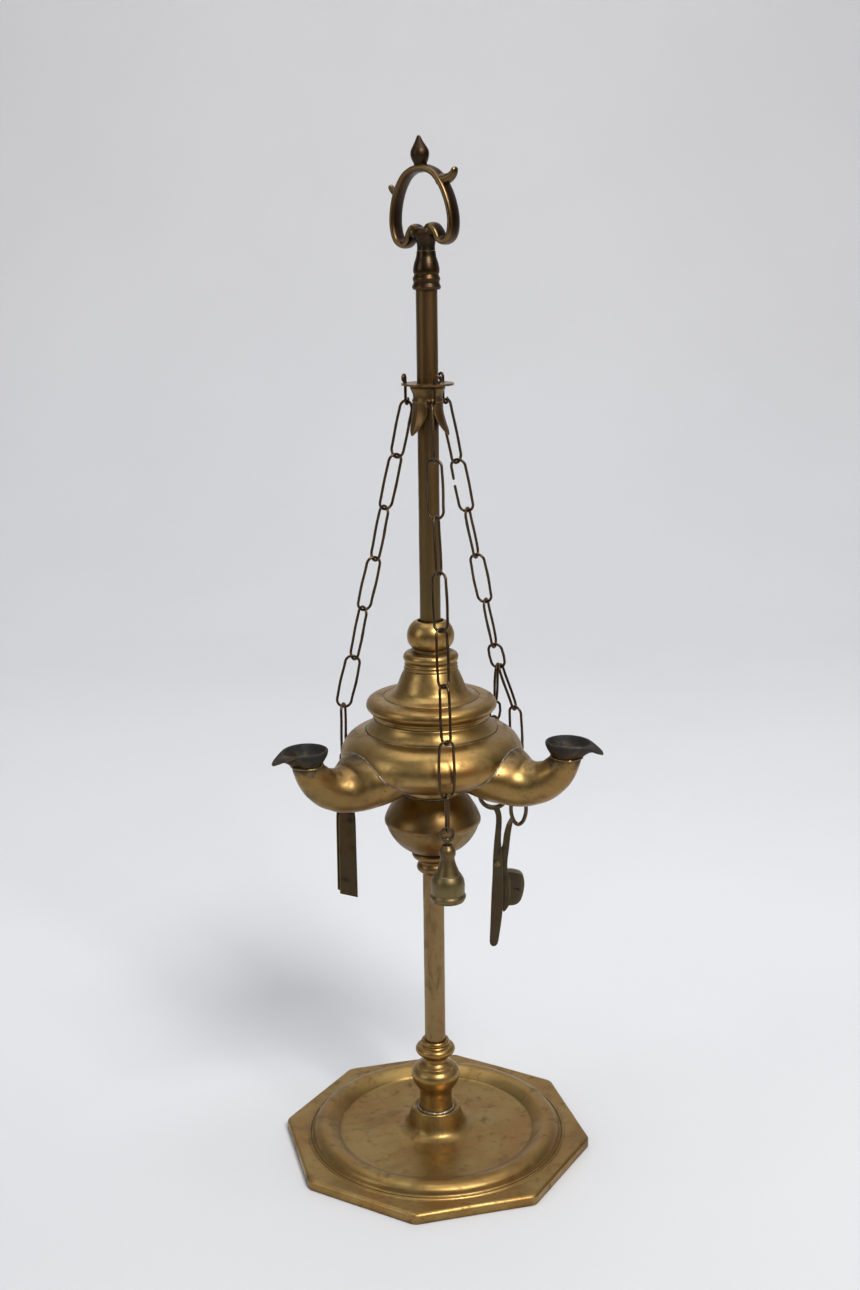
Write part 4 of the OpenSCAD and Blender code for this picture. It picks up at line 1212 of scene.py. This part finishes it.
# tray section from the outer floor over the rim to the inner floor: y past the levers'
# meeting plane, inset from the outline
TRAY_SECTION = ((0.35, 6.0), (0.35, 0.5), (0.55, 0.12), (1.0, 0.0), (6.0, 0.0), (6.4, 0.15),
                (6.5, 0.45), (6.4, 0.75), (6.0, 0.9), (1.6, 1.0), (1.3, 1.5), (1.3, 6.0))
# loop at the top of the box lever: x, z
BOX_EYE = ((49.8, 179.6), (47.3, 181.4), (45.7, 186), (45.5, 191), (46.5, 195), (49.7, 196.9),
           (53, 195), (54.1, 191), (53.9, 186), (52.3, 181.4))


def inset(points, distance):
    """Moves outline points towards their mean."""
    mid_x = sum(p[0] for p in points) / len(points)
    mid_z = sum(p[1] for p in points) / len(points)
    out = []
    for x, z in points:
        outward = Vector((x - mid_x, z - mid_z)).normalized()
        out.append((x - outward.x * distance, z - outward.y * distance))
    return out


box_plate = plate("lever", BOX_LEVER, TRIMMER_Y + 0.05, bevel=0.4)
tray = loft("tray", [[Vector((x, TRIMMER_Y + y, z)) for x, z in inset(TRAY, distance)]
                     for y, distance in TRAY_SECTION])
box_eye_path = smooth_loop([Vector((x, TRIMMER_Y + 0.9, z)) for x, z in BOX_EYE], 8)
box_eye = sweep("box_eye", resample(box_eye_path, 0.9), 1.15, start=Y_AXIS, n=14, closed=True)
box_lever = join("trimmer_lever_box", [box_plate, tray, box_eye])
sharpen_edges(box_lever)
place(box_lever, "trimmer_box", tool_mat, "trimmer_box_blade")

RIVET = [(0, -2.35), (1.2, -2.35), (1.9, -2.0), (1.9, -1.76), (1.2, -1.74), (1.2, 1.74),
         (1.9, 1.76), (1.9, 2.0), (1.2, 2.35), (0, 2.35)]
rivet = lathe("trimmer_rivet", RIVET, seg=40, rad=0.2, step=0.5, closed=False)
rivet.data.transform(Matrix.Translation(Vector((37.3, TRIMMER_Y, 156.2)) * MM)
                     @ Matrix.Rotation(-pi / 2, 4, "X"))
place(rivet, "trimmer", bell_mat, "trimmer_pivot")

# ------------------------------------------------------------------ handle
LOOP_AZ = -35           # plane of the carrying loop
LEAN = math.radians(4)
LEAN_Z = 505            # the loop leans about this height
SOCKET = (
    [(5.65, 484), (6.3, 484)]
    + smooth([(6.9, 484.1), (7.5, 485.3), (7.0, 486.7)], 4)
    + [(6.7, 487.3)]
    + smooth([(6.7, 488), (7.15, 489.5), (6.6, 490.9)], 4)
    + [(6.3, 491.7)]
    + smooth([(6.7, 492.6), (6.8, 494.4), (6.2, 497.4), (5.2, 500.6), (4.85, 503.4)], 5)
    + [(2.55, 503.4), (2.55, 492.1), (5.65, 492.05)])
place(lathe("socket_rings", SOCKET, seg=96, rad=0.12, step=0.6),
      "stand", bronze, "handle_socket")

# right half of the loop's centre line, foot to top: across, z
LOOP_HALF = [(2, 512.8), (5.2, 515.4), (8, 512.6), (9.8, 508.6), (13, 507.4), (16.4, 510.2),
             (17.9, 517.5), (16.8, 526), (13.9, 534), (9.4, 540.4), (4.6, 543.3), (0, 543.9)]
loop_across, loop_normal = polar(1, LOOP_AZ, 0), polar(1, LOOP_AZ + 90, 0)


def loop_point(across, z, depth=0.0):
    """Point of the leaning loop plane, in the lamp's frame."""
    rise = z - LEAN_Z
    out = across * math.cos(LEAN) - rise * math.sin(LEAN)
    up = LEAN_Z + across * math.sin(LEAN) + rise * math.cos(LEAN)
    return loop_across * out + loop_normal * depth + Vector((0, 0, up))


def loop_band():
    steps = 7
    line = smooth(LOOP_HALF + [(-x, z) for x, z in LOOP_HALF[:-1]][::-1], steps)
    rings = []
    n = 20
    m = len(line)
    for i, (across, z) in enumerate(line):
        before, after = line[max(i - 1, 0)], line[min(i + 1, m - 1)]
        tangent = Vector((after[0] - before[0], after[1] - before[1])).normalized()
        from_end = min(i, m - 1 - i) / steps
        half = 1.4 + 0.6 * min(1, from_end / 1.2)
        half_depth = half * (2.35 + 0.10 * math.cos(2 * pi * i / m))
        ring = []
        for k in range(n):
            offset = half * signed_power(math.cos(2 * pi * k / n), 0.85)
            depth = -half_depth * signed_power(math.sin(2 * pi * k / n), 0.85)
            ring.append(loop_point(across + tangent.y * offset, z - tangent.x * offset, depth))
        rings.append(ring)
    return loft("band", rings)


LOOP_HEAD = (
    [(0, 494), (2.5, 494), (2.5, 503.45)]
    + smooth([(4.7, 503.45), (4.6, 505.6), (5.1, 508.2), (6.1, 510.8), (6.4, 512.8),
              (5.2, 514.6), (2.6, 515.2)], 5)
    + [(0, 515.3)])
VOLUTE = [(0, -5.0), (0.9, -5.1), (1.4, -4.6), (1.9, -4.8), (2.6, -4.4), (2.95, -3.5),
          (2.8, -1.2), (2.95, 1.2), (2.95, 3.5), (2.6, 4.4), (1.9, 4.8), (1.4, 4.6),
          (0.9, 5.1), (0, 5.0)]


def volute(across, z):
    """Small roll lying through the head, square to the loop."""
    roll = lathe("volute", VOLUTE, seg=48, rad=0.25, step=0.5, closed=False)
    roll.data.transform(Matrix.Translation(loop_point(across, z) * MM)
                        @ Matrix.Rotation(math.radians(LOOP_AZ), 4, "Z")
                        @ Matrix.Rotation(pi / 2, 4, "X"))
    return roll


def thorn(points, side_r, up_r):
    """Spur on the outside of the loop; points are (across, z)."""
    return sweep("thorn", [loop_point(x, z) for x, z in smooth(points, 6)], side_r, up_r,
                 start=loop_normal, n=16)


loop_parts = [
    loop_band(),
    lathe("head", LOOP_HEAD, seg=64, rad=0.2, step=0.8, closed=False),
    volute(4.9, 513.8),
    volute(-4.9, 513.4),
    thorn([(12.4, 537.0), (14.9, 537.2), (17.4, 537.9), (19.4, 539.4), (20.5, 541.3)],
          lambda t: 4.0 - 1.6 * t, lambda t: 3.3 - 1.9 * t),
    thorn([(-15.4, 532.4), (-16.8, 533.6), (-18.2, 534.9), (-19.2, 536.4)],
          lambda t: 2.4 - 0.8 * t, lambda t: 1.9 - 0.4 * t)]
place(join("carrying_loop", loop_parts), "stand", bronze, "handle_loop")

FINIAL = (
    [(0, 543.1), (1, 543.1), (1, 545.45), (3.3, 545.5)]
    + smooth([(3.4, 546.4), (4.3, 548.4), (4.8, 550.6), (4.5, 552.8), (3.3, 555), (2.1, 557),
              (1.3, 558.7), (0.7, 559.8)], 5)
    + [(0, 560.1)])
finial = lathe("finial_flame", FINIAL, seg=64, rad=0.25, step=0.7, closed=False)
finial.data.transform(Matrix.Rotation(math.radians(LOOP_AZ), 4, "Z")
                      @ Matrix.Translation((0, 0, LEAN_Z * MM))
                      @ Matrix.Rotation(-LEAN, 4, "Y")
                      @ Matrix.Translation((0, 0, -LEAN_Z * MM)))
place(finial, "stand", bronze, "handle_finial")

# ------------------------------------------------------------------ CAD pieces kept as they are
for node, mat in (("chain_plate", pole_mat), ("base_nut", nut_mat),
                  ("stem_coupling", nut_mat), ("font_sleeve", nut_mat)):
    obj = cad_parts[node]
    if obj.material_slots:
        for slot in obj.material_slots:
            slot.material = mat
    else:
        obj.data.materials.append(mat)

# ------------------------------------------------------------------ stage (in metres)


def stage_mat():
    t = Surface("stage_grey")
    cloud = t.noise(scale=3.0, detail=3, rough=0.5)
    light_falloff_to_back = t.ramp(t.xyz()[1], lo=-0.45, hi=0.55)         # painted light: the paper is painted paler towards the back, standing in for the lighting
    front_tone_shaded = t.mix(t.ramp(cloud, lo=0.3, hi=0.7), (0.615, 0.622, 0.636),
                      (0.635, 0.642, 0.656))
    back_tone_lit = t.mix(t.ramp(cloud, lo=0.3, hi=0.7), (0.765, 0.775, 0.795),
                     (0.785, 0.795, 0.815))
    t.link(t.mix(light_falloff_to_back, front_tone_shaded, back_tone_lit), t.bsdf.inputs["Base Color"])
    t.bsdf.inputs["Roughness"].default_value = 0.9
    t.bsdf.inputs["Specular IOR Level"].default_value = 0.15
    return t.mat


def floor_sweep():
    """Paper that runs back level and curves up into a wall."""
    half_width, front_y, bend_y, bend_r, top_z = 3.2, -2.2, 1.1, 0.9, 3.4
    angles = [pi / 2 * k / 16 for k in range(1, 17)]
    profile = ([(front_y, 0.0), (bend_y, 0.0)]
               + [(bend_y + bend_r * math.sin(a), bend_r - bend_r * math.cos(a))
                  for a in angles]
               + [(bend_y + bend_r, top_z)])
    verts = [(x, y, z) for y, z in profile for x in (-half_width, half_width)]
    faces = [(2 * i, 2 * i + 1, 2 * i + 3, 2 * i + 2) for i in range(len(profile) - 1)]
    floor = mesh_object("floor_sweep", verts, faces, scale=1.0)
    floor.data.materials.append(stage_mat())


floor_sweep()

# ------------------------------------------------------------------ lights (in metres)


def area(name, at, target, width, height, power, color):
    light = bpy.data.lights.new(name, "AREA")
    light.energy = power
    light.color = color
    light.shape = "RECTANGLE"
    light.size = width
    light.size_y = height
    obj = new_object(name, light)
    obj.location = at
    obj.rotation_euler = (Vector(target) - Vector(at)).to_track_quat("-Z", "Y").to_euler()


area("key", at=(0.56, -0.98, 1.45), target=(0.0, 0.0, 0.25), width=0.50, height=0.55,
     power=22, color=(1.0, 0.98, 0.95))
area("fill", at=(-1.35, -0.7, 0.95), target=(0.0, 0.0, 0.25), width=0.6, height=0.8,
     power=3.2, color=(0.93, 0.96, 1.0))
area("top", at=(0.1, 0.6, 2.3), target=(0.0, 0.45, 0.0), width=2.2, height=1.6,
     power=15, color=(0.97, 0.98, 1.0))
area("wall", at=(0.0, -0.1, 2.4), target=(0.0, 2.0, 0.9), width=2.4, height=1.0,
     power=13.2, color=(0.96, 0.98, 1.0))


def room():
    """A dim warm room, paler above and behind the lamp, with a glow at either side."""
    world = bpy.data.worlds.new("studio")
    bpy.context.scene.world = world
    world.use_nodes = True
    t = Nodes(world.node_tree)
    background = t.tree.nodes["Background"]
    t.coords = t.add("ShaderNodeTexCoord").outputs["Generated"]

    def toward(x, y, z):
        node = t.add("ShaderNodeVectorMath", operation="DOT_PRODUCT")
        t.link(t.coords, node.inputs[0])
        node.inputs[1].default_value = Vector((x, y, z)).normalized()
        return node.outputs["Value"]

    height = t.xyz()[2]
    col = t.mix(t.ramp(height, lo=0.05, hi=0.75), (0.060, 0.043, 0.030), (0.34, 0.35, 0.37))
    col = t.mix(t.ramp(toward(0.0, 1.0, 0.1), lo=0.0, hi=0.7), col, (0.42, 0.43, 0.45))
    # orange glow at the front right, a fainter one at the left
    col = t.mix(t.ramp(toward(0.80, -0.58, -0.02), lo=0.86, hi=0.97, at_hi=0.6), col,
                (0.90, 0.52, 0.24))
    col = t.mix(t.ramp(toward(-0.92, -0.36, 0.05), lo=0.93, hi=0.985, at_hi=0.6), col,
                (0.75, 0.62, 0.48))
    t.link(col, background.inputs[0])
    background.inputs[1].default_value = 0.75


room()

# ------------------------------------------------------------------ camera (in metres)
CAMERA_DOWN = 14.0      # degrees below level
CAMERA_ROLL = -0.7      # degrees

camera_data = bpy.data.cameras.new("cam")
camera = new_object("cam", camera_data)
camera_data.sensor_width = 36
camera_data.lens = 44.85
camera_data.shift_x = 0.0022
camera.location = (-0.0019, -0.8432, 0.5066)
camera.rotation_mode = "QUATERNION"
camera.rotation_quaternion = (Euler((math.radians(90 - CAMERA_DOWN), 0, 0)).to_quaternion()
                              @ Euler((0, 0, math.radians(CAMERA_ROLL))).to_quaternion())
bpy.context.scene.camera = camera
bpy.context.scene.view_settings.view_transform = "Standard"
